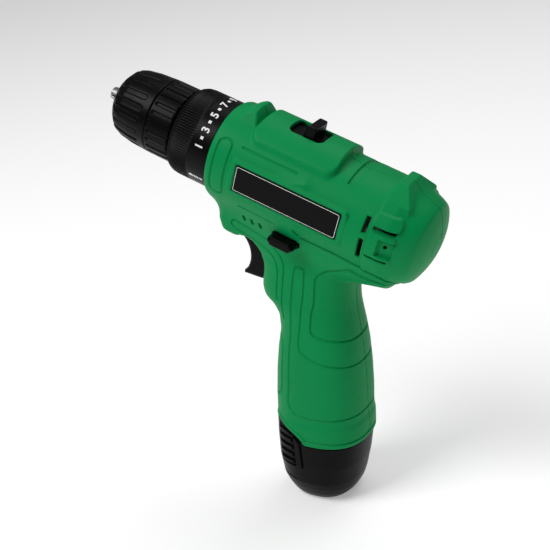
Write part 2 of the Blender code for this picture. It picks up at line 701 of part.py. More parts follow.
def build_collar(frame, black):
    outline = [(COLLAR_FRONT_X, 9.4), (COLLAR_FRONT_X, 19.4), (-81.6, 21.0), (-79.6, 21.9), (-77.0, COLLAR_R),
               (COLLAR_BACK_X, COLLAR_R), (COLLAR_BACK_X, 20.0), (-77.0, 20.0), (-79.0, 18.6), (-80.6, 9.4)]
    part("torque_collar", turned(outline, 40), black, frame)


# Three cells side by side in a triangle, pack coordinates: their centres in plan, and their length
PACK_X = -4.2
CELLS = [(PACK_X - 8.95, -6.8), (PACK_X + 8.95, -6.8), (PACK_X, 8.6)]
CELL_R = 8.8
CELL_LOW = -154.2
CELL_LENGTH = 63.2
STEM_HALF = (19.7, 18.0)         # half length and half width of the stem
CONTACTS = (("plus", PACK_X - 4.0), ("minus", PACK_X + 4.0))
# Outline of a latch's pad, grip coordinates: it follows the notch above it
LATCH = [(-32.4, -140.0), (-24.4, -140.0), (-24.4, -126.4), (-28.0, -122.8), (-32.4, -120.4)]
LATCH_FACES = (17.7, 20.4)       # distance of its inner and outer face from the middle


def stem_section(z, inset=0.0):
    return (z, PACK_X - STEM_HALF[0] + inset, PACK_X + STEM_HALF[0] - inset, STEM_HALF[1] - inset, 2.9)


def to_pack(mesh):
    """Grip coordinates rewritten as pack coordinates."""
    moved = mesh.copy()
    moved.transform(Matrix.Rotation(-LEAN, 4, 'Y'))
    return moved


def grown(outline, amount):
    """Outline pushed away from its middle."""
    middle_x = sum(x for x, z in outline) / len(outline)
    middle_z = sum(z for x, z in outline) / len(outline)
    return [(x + math.copysign(amount, x - middle_x), z + math.copysign(amount, z - middle_z))
            for x, z in outline]


def build_battery(frame, black, blue, brass):
    shell = union(to_pack(cut(grip_solid(PACK), above_seam())),
                  grip_solid([stem_section(-124.0), stem_section(STEM_TOP_Z)]))
    bottom = [(CELL_LOW - 0.5,) + stem_section(0.0, 0.7)[1:], (-120.0,) + stem_section(0.0, 0.7)[1:]]
    cavity = grip_solid(bottom + [(STEM_TOP_Z + 5.0,) + stem_section(0.0, 0.7)[1:]])
    pockets = []
    for side in (-1, 1):
        low, high = sorted((side * 16.6, side * 40.0))
        pockets.append(to_pack(slab(grown(LATCH, 0.4), low, high)))
    wells = [post(CELL_LOW - 0.5, STEM_TOP_Z + 5.0, CELL_R + 0.15, place, 28) for place in CELLS]
    part("battery_case", cut(shell, cavity, *wells, *pockets), black, frame)
    lid = grip_solid([stem_section(STEM_TOP_Z + GAP), stem_section(STEM_TOP_Z + 2.0, 0.4)])
    nub = stacked_rectangles([(STEM_TOP_Z + 1.0, PACK_X - 9.0, PACK_X + 9.0, 7.0),
                              (STEM_TOP_Z + 11.0, PACK_X - 8.2, PACK_X + 8.2, 6.2)], 2.0)
    slots = [block((x - 0.7, -3.0, STEM_TOP_Z + 5.0), (x + 0.7, 3.0, STEM_TOP_Z + 20.0)) for name, x in CONTACTS]
    part("battery_cap", cut(union(lid, nub), *slots), black, frame)
    for index, (x, y) in enumerate(CELLS, 1):
        part("cell_%d" % index, post(CELL_LOW, CELL_LOW + CELL_LENGTH, CELL_R, (x, y), 28), blue, frame)
    for name, x in CONTACTS:
        strip = block((x - 0.4, -2.6, STEM_TOP_Z + 5.3), (x + 0.4, 2.6, STEM_TOP_Z + 10.4))
        part("pack_contact_" + name, strip, brass, frame)


def build_terminals(frame, dark, brass):
    """Terminal block that the battery plugs into, held between the two shells."""
    low = STEM_TOP_Z + 12.4
    body = stacked_rectangles([(low, PACK_X - 7.6, PACK_X + 7.6, 8.0), (low + 4.0, PACK_X - 7.6, PACK_X + 7.6, 8.0)],
                              2.0)
    part("terminal_block", body, dark, frame)
    for name, x in CONTACTS:
        blade = block((x - 0.3, -2.4, STEM_TOP_Z + 10.8), (x + 0.3, 2.4, low - GAP))
        part("terminal_" + name, blade, brass, frame)


def build_latches(frame, black):
    for name, side in (("left", -1), ("right", 1)):
        low, high = sorted(side * face for face in LATCH_FACES)
        part("latch_" + name, slab(LATCH, low, high), black, frame, (LATCH[0][0], low, LATCH[0][1]))


def main():
    clear_scene()
    green = make_material("green_shell", GREEN, 0.55)
    black = make_material("black_plastic", BLACK, 0.5)
    dark = make_material("dark_nylon", DARK, 0.6)
    steel = make_material("steel", STEEL, 0.35, 1.0)
    brass = make_material("brass", BRASS, 0.4, 1.0)
    copper = make_material("copper", COPPER, 0.45, 1.0)
    blue = make_material("cell_wrap", BLUE, 0.4)

    tool_axis = make_empty("tool_axis", (AXIS_X, 0.0, AXIS_Z), TILT)
    grip_frame = make_empty("grip_frame", (AXIS_X, 0.0, AXIS_Z))
    pack_axis = make_empty("pack_axis", (AXIS_X, 0.0, AXIS_Z), LEAN)

    build_housing(tool_axis, green, steel)
    build_labels(tool_axis, black)
    build_controls(tool_axis, black, dark, steel)
    build_gearbox(tool_axis, dark, steel)
    build_motor(tool_axis, steel, dark, brass)
    build_rotor(tool_axis, steel, dark, brass, copper)
    build_planets(tool_axis, dark)
    build_spindle(tool_axis, steel, black)
    build_sleeve(tool_axis, steel, black)
    build_jaws(tool_axis, steel)
    build_collar(tool_axis, black)
    build_battery(pack_axis, black, blue, brass)
    build_terminals(pack_axis, dark, brass)
    build_latches(grip_frame, black)


main()
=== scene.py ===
"""Looks of the cordless drill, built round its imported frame.

Everything is drawn in the tool's own units and axes, as the frame's parts are:
  tool   x along the spindle towards the tail, y to the right side, z square to the spindle
  grip   the world's own directions, counted from the same point on the spindle
The moulded parts are fields, negative inside the plastic, that are turned into meshes on a fine grid.
"""
import json
import math

import bpy
import numpy as np
from mathutils import Matrix, Vector


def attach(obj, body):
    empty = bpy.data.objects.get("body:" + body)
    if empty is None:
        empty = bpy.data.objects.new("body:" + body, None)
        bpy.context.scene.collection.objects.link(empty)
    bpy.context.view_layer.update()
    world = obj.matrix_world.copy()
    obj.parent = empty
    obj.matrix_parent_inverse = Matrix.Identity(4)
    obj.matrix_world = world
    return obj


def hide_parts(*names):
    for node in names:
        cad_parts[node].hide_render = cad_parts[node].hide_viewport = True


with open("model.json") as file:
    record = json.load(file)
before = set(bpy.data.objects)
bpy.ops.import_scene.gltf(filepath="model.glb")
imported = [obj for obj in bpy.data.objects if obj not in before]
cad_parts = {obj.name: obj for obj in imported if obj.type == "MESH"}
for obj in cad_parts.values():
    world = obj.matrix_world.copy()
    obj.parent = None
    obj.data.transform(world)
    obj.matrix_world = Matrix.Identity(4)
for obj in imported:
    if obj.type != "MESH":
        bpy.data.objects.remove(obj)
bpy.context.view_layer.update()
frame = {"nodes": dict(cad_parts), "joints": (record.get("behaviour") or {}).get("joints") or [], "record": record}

# ---------------------------------------------------------------- axes, from the frame

UNIT = 0.00103                   # metres in one drawing unit
JOINTS = {joint["name"]: joint for joint in frame["joints"]}
ORIGIN = Vector(JOINTS["spindle_spin"]["pos_m"])
SPINDLE = Vector(JOINTS["spindle_spin"]["axis"])
PULL_OUT = Vector(JOINTS["battery_slide"]["axis"])
TILT = math.atan2(-SPINDLE.z, SPINDLE.x)
LEAN = math.atan2(-PULL_OUT.x, -PULL_OUT.z)
GRIP_SPACE = Matrix.Translation(ORIGIN) @ Matrix.Scale(UNIT, 4)
TOOL_SPACE = Matrix.Translation(ORIGIN) @ Matrix.Rotation(TILT, 4, 'Y') @ Matrix.Scale(UNIT, 4)
FINE = 0.44      # grid step of the housing, in drawing units

# ---------------------------------------------------------------- driving dimensions, drawing units

GAP = 0.3
WALL = 2.2
NOSE_X = -58.6
RIM_Z = -129.0
NOTCH_Z = -118.0
FOOT_Z = -165.0
STEM_TOP_Z = -88.5
CHUCK_R = 19.2
COLLAR_R = 22.2
JAW_TIP_X = -128.4
JAW_ANGLE = math.radians(17.0)
JAW_R = 3.0
JAW_SPLIT = 0.18

# Stations of the barrel and tail: x, half width, height above and below the spindle
BARREL = [
    (NOSE_X, 23.3, 23.2, 23.3), (-57.4, 24.3, 24.2, 24.3), (-50.0, 24.5, 24.2, 24.5),
    (-20.0, 24.7, 23.3, 24.7), (5.0, 24.9, 22.6, 24.8), (30.0, 24.9, 22.4, 24.8),
]
TAIL = [
    (28.0, 25.7, 23.3, 26.6), (29.0, 26.0, 23.6, 27.0), (36.0, 25.9, 23.0, 27.0), (41.0, 24.4, 20.9, 25.6),
    (46.0, 22.3, 19.3, 23.0), (49.6, 19.9, 17.8, 20.4), (52.4, 13.4, 12.1, 13.6), (54.1, 6.4, 6.0, 6.4),
    (54.4, 1.0, 1.0, 1.0),
]
# Level stations of the grip and of the battery: z, front x, rear x, half width, exponent
GRIP = [
    (RIM_Z, -40.8, 8.4, 22.1, 2.5), (-127.5, -41.2, 8.7, 22.4, 2.5), (-118.5, -40.8, 9.1, 22.3, 2.5),
    (-116.0, -39.4, 8.4, 21.5, 2.6), (-104.0, -38.4, 9.0, 21.2, 2.7), (-90.0, -36.8, 9.2, 20.8, 2.7),
    (-78.0, -34.8, 8.9, 20.0, 2.7), (-68.0, -32.7, 8.1, 19.1, 2.6), (-60.0, -33.4, 7.4, 18.4, 2.45),
    (-54.5, -36.4, 6.9, 17.9, 2.5), (-50.5, -40.6, 6.9, 17.4, 2.7), (-46.0, -41.2, 7.2, 17.0, 2.8),
    (-38.0, -40.2, 8.4, 16.4, 2.9), (-31.0, -39.8, 10.2, 15.8, 3.0), (-22.0, -40.6, 14.5, 15.0, 3.0),
    (-14.0, -41.0, 17.0, 14.0, 2.8), (4.0, -40.0, 14.0, 13.0, 2.6),
]
PACK = [
    (FOOT_Z, -33.4, -5.6, 13.4, 2.35), (-164.0, -34.6, -4.2, 14.7, 2.35), (-161.0, -36.6, -1.2, 16.8, 2.35),
    (-157.0, -38.8, 1.2, 18.6, 2.35), (-153.0, -40.2, 2.6, 19.9, 2.35), (-142.0, -41.0, 5.2, 21.0, 2.5),
    (RIM_Z, -40.7, 7.6, 21.6, 2.5), (NOTCH_Z, -40.0, 8.6, 21.6, 2.5),
]
NOTCH_LINE = [(-18.9, RIM_Z), (-19.6, -126.6), (-23.2, -123.6), (-33.4, NOTCH_Z)]
SCREWS = [
    (-49.0, -30.2, 12.0), (-48.6, 22.6, 10.5), (43.6, 13.0, 17.5), (43.6, -14.0, 17.5),
    (14.3, -33.2, 10.6), (-3.4, -58.0, 15.1), (20.8, -62.4, 13.7), (2.0, -76.0, 14.9),
]
TRIGGER_ARCH = [
    (-70.0, -75.0), (-70.0, -40.0), (-41.4, -38.6), (-38.4, -35.8), (-34.6, -34.6), (-30.6, -34.9),
    (-27.4, -36.6), (-25.2, -39.2), (-23.6, -42.6), (-22.6, -47.0), (-22.2, -56.6), (-24.6, -62.5),
    (-34.0, -75.0),
]
TRIGGER_MOUTH = [
    (-60.0, -60.0), (-44.0, -34.4), (-42.0, -31.0), (-12.0, -31.0), (-12.0, -54.4), (-20.0, -57.6),
    (-40.0, -60.0),
]
BUTTON = (-12.0, -21.9)
LABEL_X, LABEL_Z = 14.2, 0.9     # ahead of the origin, and above the spindle


# ---------------------------------------------------------------- field helpers

def to_grip(x, z):
    return x * math.cos(TILT) + z * math.sin(TILT), z * math.cos(TILT) - x * math.sin(TILT)


def round_min(a, b, radius):
    """Union of two fields with a fillet."""
    h = np.maximum(radius - np.abs(a - b), 0.0) / radius
    return np.minimum(a, b) - h * h * radius / 4.0


def round_max(a, b, radius):
    return -round_min(-a, -b, radius)


def station(at, stations, column, soft=1.2):
    """Value between stations, with the corners at the stations rounded."""
    places = [row[0] for row in stations]
    values = [row[column] for row in stations]
    total = 0.0
    for offset, weight in ((-1.0, 1.0), (-0.5, 2.0), (0.0, 3.0), (0.5, 2.0), (1.0, 1.0)):
        total = total + weight * np.interp(at + offset * soft, places, values)
    return total / 9.0


def oval(across, up, half, above, below, power):
    """Radial distance from a superellipse with a different height above and below."""
    u = np.abs(across) / half
    v = np.where(up > 0.0, up / above, -up / below)
    gauge = np.maximum((u ** power + v ** power) ** (1.0 / power), 1e-4)
    return np.hypot(across, up) * (1.0 - 1.0 / gauge)


def rounded_box(across, half_across, up, half_up, corner):
    qx = np.abs(across) - (half_across - corner)
    qz = np.abs(up) - (half_up - corner)
    return np.hypot(np.maximum(qx, 0.0), np.maximum(qz, 0.0)) + np.minimum(np.maximum(qx, qz), 0.0) - corner


def line_distance(x, z, points):
    """Distance from a chain of points in a plane."""
    nearest = np.full(np.shape(x), 1e9)
    for (ax, az), (bx, bz) in zip(points, points[1:]):
        dx, dz = bx - ax, bz - az
        along = np.clip(((x - ax) * dx + (z - az) * dz) / (dx * dx + dz * dz), 0.0, 1.0)
        nearest = np.minimum(nearest, np.hypot(x - ax - along * dx, z - az - along * dz))
    return nearest


def outline_distance(x, z, points):
    """Signed distance from a closed outline in a plane, negative inside."""
    closed = points + points[:1]
    crossed = np.zeros(np.shape(x), bool)
    for (ax, az), (bx, bz) in zip(closed, closed[1:]):
        if az != bz:
            spans = (az > z) != (bz > z)
            crossed ^= spans & (x < ax + (z - az) * (bx - ax) / (bz - az))
    return np.where(crossed, -1.0, 1.0) * line_distance(x, z, closed)


def mound(x, y, z, levels, corner, soft):
    """Raised block with sloping sides: levels of (z, x0, x1, half width), lowest first."""
    x0, x1, half = (station(z, levels, column, 0.6) for column in (1, 2, 3))
    walls = rounded_box(x - (x0 + x1) / 2.0, (x1 - x0) / 2.0, y, half, corner)
    return np.maximum(round_max(walls, z - levels[-1][0], soft), levels[0][0] - z)


def groove(distance, width, depth):
    """Amount that a moulded line lowers the surface."""
    return depth * np.clip(1.3 - np.abs(distance) / (width / 2.0) * 1.3, 0.0, 1.0) ** 0.7


def step_down(distance, width=0.6):
    """1 inside an outline, 0 outside, with a soft edge."""
    t = np.clip(0.5 - distance / width, 0.0, 1.0)
    return t * t * (3.0 - 2.0 * t)


# ---------------------------------------------------------------- fields into meshes

def sample(field, low, high, step):
    """Values of a field on a grid; only the blocks near its surface are worked out in full."""
    block = 4
    blocks = [int(math.ceil((b - a) / (step * block))) for a, b in zip(low, high)]
    centres = [low[i] + step * block * (np.arange(blocks[i]) + 0.5) for i in range(3)]
    cx, cy, cz = np.meshgrid(*centres, indexing='ij')
    coarse = field(cx.ravel(), cy.ravel(), cz.ravel()).reshape(blocks)
    near = np.abs(coarse) < step * block * 1.45
    lower = [np.minimum(np.arange(n * block + 1) // block, n - 1) for n in blocks]
    upper = [np.maximum(np.arange(n * block + 1) - 1, 0) // block for n in blocks]
    values = coarse[np.ix_(*lower)].astype(np.float32)
    wanted = np.zeros(values.shape, bool)
    for pick in range(8):
        sides = [(lower, upper)[pick >> axis & 1][axis] for axis in range(3)]
        wanted |= near[np.ix_(*sides)]
    ix, iy, iz = np.nonzero(wanted)
    chunk = 300000
    for start in range(0, len(ix), chunk):
        span = slice(start, start + chunk)
        values[ix[span], iy[span], iz[span]] = field(low[0] + ix[span] * step, low[1] + iy[span] * step,
                                                     low[2] + iz[span] * step)
    return values


def gradient(field, points, reach):
    columns = []
    for axis in range(3):
        shift = np.zeros(3)
        shift[axis] = reach
        ahead = field(*(points + shift).T)
        behind = field(*(points - shift).T)
        columns.append((ahead - behind) / (2.0 * reach))
    return np.stack(columns, 1)


def net(field, low, high, step, relax=2):
    """Closed mesh on a field's zero surface: one vertex in each grid cell that it passes through."""
    values = sample(field, low, high, step)
    inside = values < 0.0
    size = values.shape
    corners = [(i >> 2 & 1, i >> 1 & 1, i & 1) for i in range(8)]
    count = np.zeros([n - 1 for n in size], np.int8)
    for i, j, k in corners:
        count += inside[i:size[0] - 1 + i, j:size[1] - 1 + j, k:size[2] - 1 + k]
    cells = np.nonzero((count > 0) & (count < 8))
    number = np.full(count.shape, -1, np.int32)
    number[cells] = np.arange(len(cells[0]))
    total = np.zeros((len(cells[0]), 3))
    weight = np.zeros(len(cells[0]))
    for a in corners:
        for axis in range(3):
            if a[axis]:
                continue
            b = list(a)
            b[axis] = 1
            va = values[cells[0] + a[0], cells[1] + a[1], cells[2] + a[2]]
            vb = values[cells[0] + b[0], cells[1] + b[1], cells[2] + b[2]]
            crosses = (va < 0.0) != (vb < 0.0)
            place = np.tile(np.array(a, float), (len(va), 1))
            place[:, axis] = np.where(crosses, va / np.where(crosses, va - vb, 1.0), 0.0)
            total += place * crosses[:, None]
            weight += crosses
    points = np.array(low) + (np.stack(cells, 1) + total / weight[:, None]) * step
    quads = []
    for axis in range(3):
        u, v = (axis + 1) % 3, (axis + 2) % 3
        first = [slice(1, -1)] * 3
        second = [slice(1, -1)] * 3
        first[axis] = slice(0, size[axis] - 1)
        second[axis] = slice(1, size[axis])
        start, end = inside[tuple(first)], inside[tuple(second)]
        where = [index + 1 for index in np.nonzero(start != end)]
        where[axis] -= 1
        leaving = start[start != end]
        ring = []
        for du, dv in ((-1, -1), (0, -1), (0, 0), (-1, 0)):
            cell = list(where)
            cell[u] = where[u] + du
            cell[v] = where[v] + dv
            ring.append(number[tuple(cell)])
        ring = np.stack(ring, 1)
        ring[~leaving] = ring[~leaving][:, ::-1]
        quads.append(ring)
    quads = np.concatenate(quads)
    edges = np.concatenate([quads[:, [0, 1]], quads[:, [1, 2]], quads[:, [2, 3]], quads[:, [3, 0]]])
    degree = np.maximum(np.bincount(edges.ravel(), minlength=len(points)), 1)
    for _ in range(relax):
        moved = np.empty_like(points)
        for axis in range(3):
            sums = np.bincount(edges[:, 0], points[edges[:, 1], axis], len(points))
            sums += np.bincount(edges[:, 1], points[edges[:, 0], axis], len(points))
            moved[:, axis] = sums / degree
        points = moved
    for _ in range(3):
        slope = gradient(field, points, step * 0.05)
        value = field(*points.T)
        shift = -value / np.maximum((slope ** 2).sum(1), 0.04)
        move = slope * shift[:, None]
        length = np.maximum(np.linalg.norm(move, axis=1), 1e-9)
        points = points + move * np.minimum(1.0, step * 0.7 / length)[:, None]
    return points, quads


def mesh_from(points, faces, normals=None):
    mesh = bpy.data.meshes.new("surface")
    mesh.from_pydata(points.tolist(), [], faces.tolist() if isinstance(faces, np.ndarray) else faces)
    mesh.shade_smooth()
    if normals is not None:
        mesh.normals_split_custom_set_from_vertices(normals.tolist())
    return mesh


def moulded(name, field, low, high, step, space, grain=None):
    """Mesh of a field in one of the spaces, with the field's own normals."""
    points, quads = net(field, low, high, step)
    normals = gradient(field, points, step * 0.3)
    normals /= np.maximum(np.linalg.norm(normals, axis=1), 1e-9)[:, None]
    turn = np.array(space.to_3x3().normalized())
    place = np.array(space)
    world = points @ place[:3, :3].T + place[:3, 3]
    mesh = mesh_from(world, quads, normals @ turn.T)
    if grain is not None:
        attribute = mesh.attributes.new("grain", 'FLOAT', 'POINT')
        attribute.data.foreach_set("value", grain(*points.T).astype(np.float32))
    mesh.name = name
    return mesh


def piece(name, mesh, material, body, slot, *nodes):
    """Puts a finished mesh, in world coordinates, into the scene as one piece of the drill."""
    obj = bpy.data.objects.new(name, mesh)
    bpy.context.scene.collection.objects.link(obj)
    mesh.materials.clear()
    mesh.materials.append(material)
    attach(obj, body)
    if nodes:
        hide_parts(*nodes)
    return obj


# ---------------------------------------------------------------- housing

def barrel(x, y, z):
    half, above, below = (station(x, BARREL, column) for column in (1, 2, 3))
    side = oval(y, z, half, above, below, 2.12)
    front_block = round_max(side, np.maximum(NOSE_X - x, x - 30.0), 0.8)
    steep = station(x + 0.5, TAIL, 1) - station(x - 0.5, TAIL, 1)
    half, above, below = (station(x, TAIL, column) for column in (1, 2, 3))
    cap = oval(y, z, half, above, below, 2.12) / np.sqrt(1.0 + steep ** 2)
    cap = round_max(cap, np.maximum(28.2 - x, x - 54.4), 0.6)
    return np.minimum(front_block, cap)


def grip_outside(x, y, z, inset=0.0):
    gx, gz = to_grip(x, z)
    front, rear, half, power = (station(gz, GRIP, column, 1.6) for column in (1, 2, 3, 4))
    middle = (front + rear) / 2.0
    reach = (rear - front) / 2.0 - inset
    return oval(y, gx - middle, half - inset, reach, reach, power)


def grip(x, y, z):
    """Grip with its collar, whose lower edge lifts above the latches."""
    gx, gz = to_grip(x, z)
    body = round_max(grip_outside(x, y, z), RIM_Z - gz, 1.4)
    body = np.maximum(body, gz - 4.0)
    notch = [(-60.0, RIM_Z - 20.0), (-18.3, RIM_Z - 20.0)] + NOTCH_LINE + [(-60.0, NOTCH_Z)]
    return round_max(body, -outline_distance(gx, gz, notch), 1.4)


def pod(x, y, z):
    """Block round the gear selector: upright sides, and a top that falls away to both sides."""
    levels = [(10.0, -44.0, 4.0, 18.4), (15.6, -43.2, 3.0, 18.0), (19.8, -42.2, 2.4, 17.6),
              (29.0, -41.2, 1.6, 16.8)]
    walls = mound(x, y, z, levels, 5.0, 0.8)
    crown = z - 27.2 + 7.0 * np.minimum(np.abs(y) / 17.0, 1.3) ** 2.2
    return round_max(walls, crown * 0.85, 1.1)


def front_bump(x, y, z):
    """Pointer's wedge behind the collar: it rises from the rim, and drops steeply towards the selector."""
    r = np.hypot(y, z)
    ramp = np.interp(x, [-56.0, -53.4, -52.0, -50.0, -48.0, -46.0], [22.5, 24.4, 25.7, 27.5, 28.6, 28.9])
    top = (r - ramp) * 0.85
    rear = (x + 46.0 - 0.7 * (28.9 - r)) * 0.8
    side = (np.abs(y) - 8.2 - 0.65 * (26.2 - z)) * 0.84
    front = np.maximum(10.0 - z, NOSE_X + 2.0 - x)
    return round_max(round_max(np.maximum(top, front), rear, 0.8), side, 0.7)


def flare(x, y, z):
    """Back of the grip's head, which runs out level under the tail."""
    below = 19.2 - 0.364 * (x - 26.0)
    half = 17.0 + 2.8 * np.clip((x + 5.0) / 25.0, 0.0, 1.0)
    side = oval(y, z + 14.0, half, 30.0, below, 2.2)
    return round_max(side, np.maximum(np.maximum(-4.0 - x, x - 42.0), z + 9.0), 3.0)


def rear_bump(x, y, z):
    levels = [(10.0, 27.4, 42.0, 17.2), (19.4, 27.8, 40.6, 15.9), (25.8, 29.8, 34.4, 7.0)]
    return mound(x, y, z, levels, 0.9, 0.8)


def keel(x, y, z):
    levels = [(10.0, -54.4, -12.0, 14.0), (31.0, -52.0, -12.0, 13.2), (36.4, -49.8, -12.0, 12.2),
              (38.2, -48.2, -12.0, 10.8)]
    return mound(x, y, -z, levels, 4.0, 3.5)


def label_field(x, y, z):
    """Flat raised field round the label."""
    plate = rounded_box(x + LABEL_X, 30.6, z - LABEL_Z, 8.6, 1.6)
    return round_max(plate, np.maximum(np.abs(y) - 24.9, 18.0 - np.abs(y)), 0.8)


def housing_skin(x, y, z):
    """Outer surface of the housing before its holes."""
    cheek = 1.6 + 14.0 * np.clip((6.0 - x) / 14.0, 0.0, 1.0)
    shape = round_min(barrel(x, y, z), grip(x, y, z), cheek)
    shape = round_min(shape, flare(x, y, z), 1.6)
    shape = round_min(shape, pod(x, y, z), 0.9)
    shape = round_min(shape, front_bump(x, y, z), 0.8)
    shape = round_min(shape, rear_bump(x, y, z), 1.0)
    shape = round_min(shape, keel(x, y, z), 8.0)
    shape = round_min(shape, label_field(x, y, z), 1.0)
    arch = outline_distance(x, z, TRIGGER_ARCH)
    shape = round_max(shape, -arch, 1.8)
    return shape + housing_lines(x, y, z)


# Moulded lines: the first five in wrapped() coordinates round the grip, the others seen from the side.
# STRIP, BAND, PANEL, ARCH_LINES, SLOTS and CREASE are traced points, not yet redrawn as corners and arcs.
STRIP = [(-14.6, -30.8), (-15.6, -30.8), (-16.3, -32.0), (-17.2, -35.5), (-18.5, -43.3), (-19.9, -53.8),
         (-21.4, -64.8), (-22.2, -75.9), (-23.2, -95.2), (-24.3, -106.0), (-23.6, -109.1), (-20.6, -111.5),
         (-14.8, -113.0), (-7.1, -112.6), (4.1, -111.9), (16.0, -112.0), (30.0, -112.0)]
BAND = [(-14.6, -30.8), (-12.4, -31.8), (-12.0, -33.1), (-12.6, -39.8), (-13.7, -47.7), (-14.6, -55.5),
        (-15.9, -63.5), (-16.8, -69.0), (-16.9, -73.2), (-16.1, -75.5), (-11.9, -78.4), (-7.0, -80.4),
        (-2.6, -81.6), (2.5, -82.5), (8.4, -83.3), (16.0, -84.0), (30.0, -84.0)]
PANEL = [(17.0, -38.0), (5.2, -31.5), (3.3, -29.4), (1.5, -27.1), (-1.9, -30.8), (-6.3, -34.8), (-7.3, -36.5),
         (-7.9, -41.8), (-8.6, -49.7), (-9.1, -57.3), (-9.6, -62.6), (-9.2, -64.7), (-7.8, -66.0),
         (-4.0, -67.6), (0.7, -68.4), (5.4, -69.1), (11.2, -69.9), (18.0, -70.4), (30.0, -70.4)]
FINGERS = [(-46.0, -70.0), (-31.0, -70.4), (-28.4, -71.6), (-27.0, -75.4), (-27.4, -95.0), (-28.6, -101.6),
           (-31.0, -103.4), (-46.0, -103.4)]
LIP = [(-46.0, -110.6), (-32.0, -114.8), (-22.4, -120.4), (-17.8, -123.6), (-16.6, -125.8), (30.0, -125.8)]
ARCH_LINES = [
    [(-42.2, -27.4), (-43.4, -28.8), (-43.2, -30.6), (-41.4, -32.0), (-37.0, -32.4), (-30.7, -32.7),
     (-25.6, -32.9), (-21.1, -33.5), (-17.3, -35.0), (-14.9, -37.8), (-13.0, -41.4), (-11.2, -49.2),
     (-10.1, -54.6), (-9.0, -56.1)],
    [(-42.2, -27.4), (-35.6, -27.6), (-23.2, -27.6), (-18.0, -29.7), (-13.4, -32.9), (-10.8, -36.4),
     (-9.6, -40.5), (-8.6, -45.8), (-7.5, -51.1), (-6.2, -56.4), (-4.7, -62.0), (-3.5, -65.1)],
]
SLOTS = [(-36.2, -22.6), (-31.4, -22.1), (-26.5, -21.6)]
SIDE_LINE = [(-38.6, -15.0), (-27.8, -14.5), (-18.0, -14.4)]
CREASE = [(-4.2, -15.7), (2.1, -16.6), (11.5, -16.0), (19.3, -16.0), (25.2, -16.2), (35.7, -15.8),
          (41.0, -17.2), (46.0, -19.4)]


def wrapped(x, y, z):
    """Grip coordinates with the section's rear unrolled, so that a line can run round it."""
    gx, gz = to_grip(x, z)
    front, rear, half = (station(gz, GRIP, column, 1.6) for column in (1, 2, 3))
    middle = (front + rear) / 2.0
    angle = np.arctan2((gx - middle) / ((rear - front) / 2.0), np.abs(y) / half)
    return middle + angle * 21.0, gz


def housing_lines(x, y, z):
    """How far grooves, panels and recesses lower the outer surface."""
    side = np.abs(y)
    low = np.zeros(np.shape(x))
    wx, wz = wrapped(x, y, z)
    on_grip = (wz < -24.0) & (z < -20.0)
    for chain in (STRIP, BAND, FINGERS, LIP):
        low = np.maximum(low, on_grip * groove(line_distance(wx, wz, chain), 1.2, 0.6))
    low = np.maximum(low, on_grip * groove(line_distance(wx, wz, PANEL), 1.5, 0.75))
    cuts = [(chain, 1.1, 0.6) for chain in ARCH_LINES]
    cuts += [([(sx - 0.4, sz + 0.8), (sx + 0.4, sz - 0.8)], 1.8, 2.0) for sx, sz in SLOTS]
    cuts += [([(-7.8, -12.8), (-5.4, -14.4)], 1.6, 1.1), (SIDE_LINE, 1.0, 0.5), (CREASE, 1.6, 0.9)]
    for chain, width, depth in cuts:
        low = np.maximum(low, (side > 10.0) * groove(line_distance(x, z, chain), width, depth))
    turn = np.degrees(np.arctan2(z, side))
    rim = rounded_box(x + 51.1, 3.5, (turn - 4.0) * 0.42, 14.4, 3.2)
    low = np.maximum(low, groove(rim, 1.3, 0.6))
    rib = line_distance(x, turn * 0.42, [(-42.6, 15.3), (-14.0, 15.0)])
    low = np.maximum(low, groove(rib, 1.5, 0.6))
    recess = rounded_box(x + LABEL_X, 28.3, z - LABEL_Z, 7.25, 1.0)
    low = np.maximum(low, 0.6 * step_down(recess) * (side > 15.0))
    band = rounded_box(x - 11.4, 2.1, turn - 90.0, 40.0, 0.3)
    low = np.maximum(low, 0.9 * step_down(band, 0.5) * (z > 5.0))
    pointer = outline_distance(x, y, [(-57.4, -1.7), (-57.4, 1.7), (-54.6, 0.0)])
    low = np.maximum(low, 0.5 * step_down(pointer) * (z > 15.0))
    return low


def tail_details(x, y, z):
    """Raised bars and a sunk square between the vents; positive lowers the surface."""
    panel = rounded_box(x - 34.6, 6.7, z - 12.6, 2.9, 2.3)
    lip = rounded_box(x - 34.9, 6.3, z - 6.4, 1.1, 0.9)
    post_bar = rounded_box(x - 31.3, 2.7, z - 1.2, 5.2, 0.4)
    foot_bar = rounded_box(x - 34.6, 6.4, z + 3.6, 0.9, 0.8)
    raised = np.minimum.reduce([panel, lip, post_bar, foot_bar])
    square = rounded_box(x - 37.8, 3.4, z - 1.2, 4.0, 0.4)
    low = 0.9 * step_down(square, 0.4) - 1.2 * step_down(raised, 0.5)
    return low * (np.abs(y) > 12.0)


def housing_hollow(x, y, z):
    """Space that the works take up, negative inside it."""
    half, above, below = (station(x, BARREL, column) - WALL for column in (1, 2, 3))
    room = oval(y, z, half, above, below, 2.12)
    room = np.maximum(room, np.maximum(NOSE_X + 3.0 - x, x - 31.0))
    half, above, below = (np.maximum(station(x, TAIL, column) - WALL, 0.5) for column in (1, 2, 3))
    tail_room = np.maximum(oval(y, z, half, above, below, 2.12), np.maximum(27.0 - x, x - 48.0))
    bore = np.maximum(np.hypot(y, z) - 20.4, np.maximum(NOSE_X - 5.0 - x, x - NOSE_X - 10.0))
    shaft = np.maximum(grip_outside(x, y, z, WALL), to_grip(x, z)[1] + 2.0)
    track = rounded_box(x + 19.8, 16.6, y, 7.2, 1.0)
    track = np.maximum(track, np.maximum(20.0 - z, z - 24.9))
    return np.minimum.reduce([room, tail_room, bore, shaft, track])


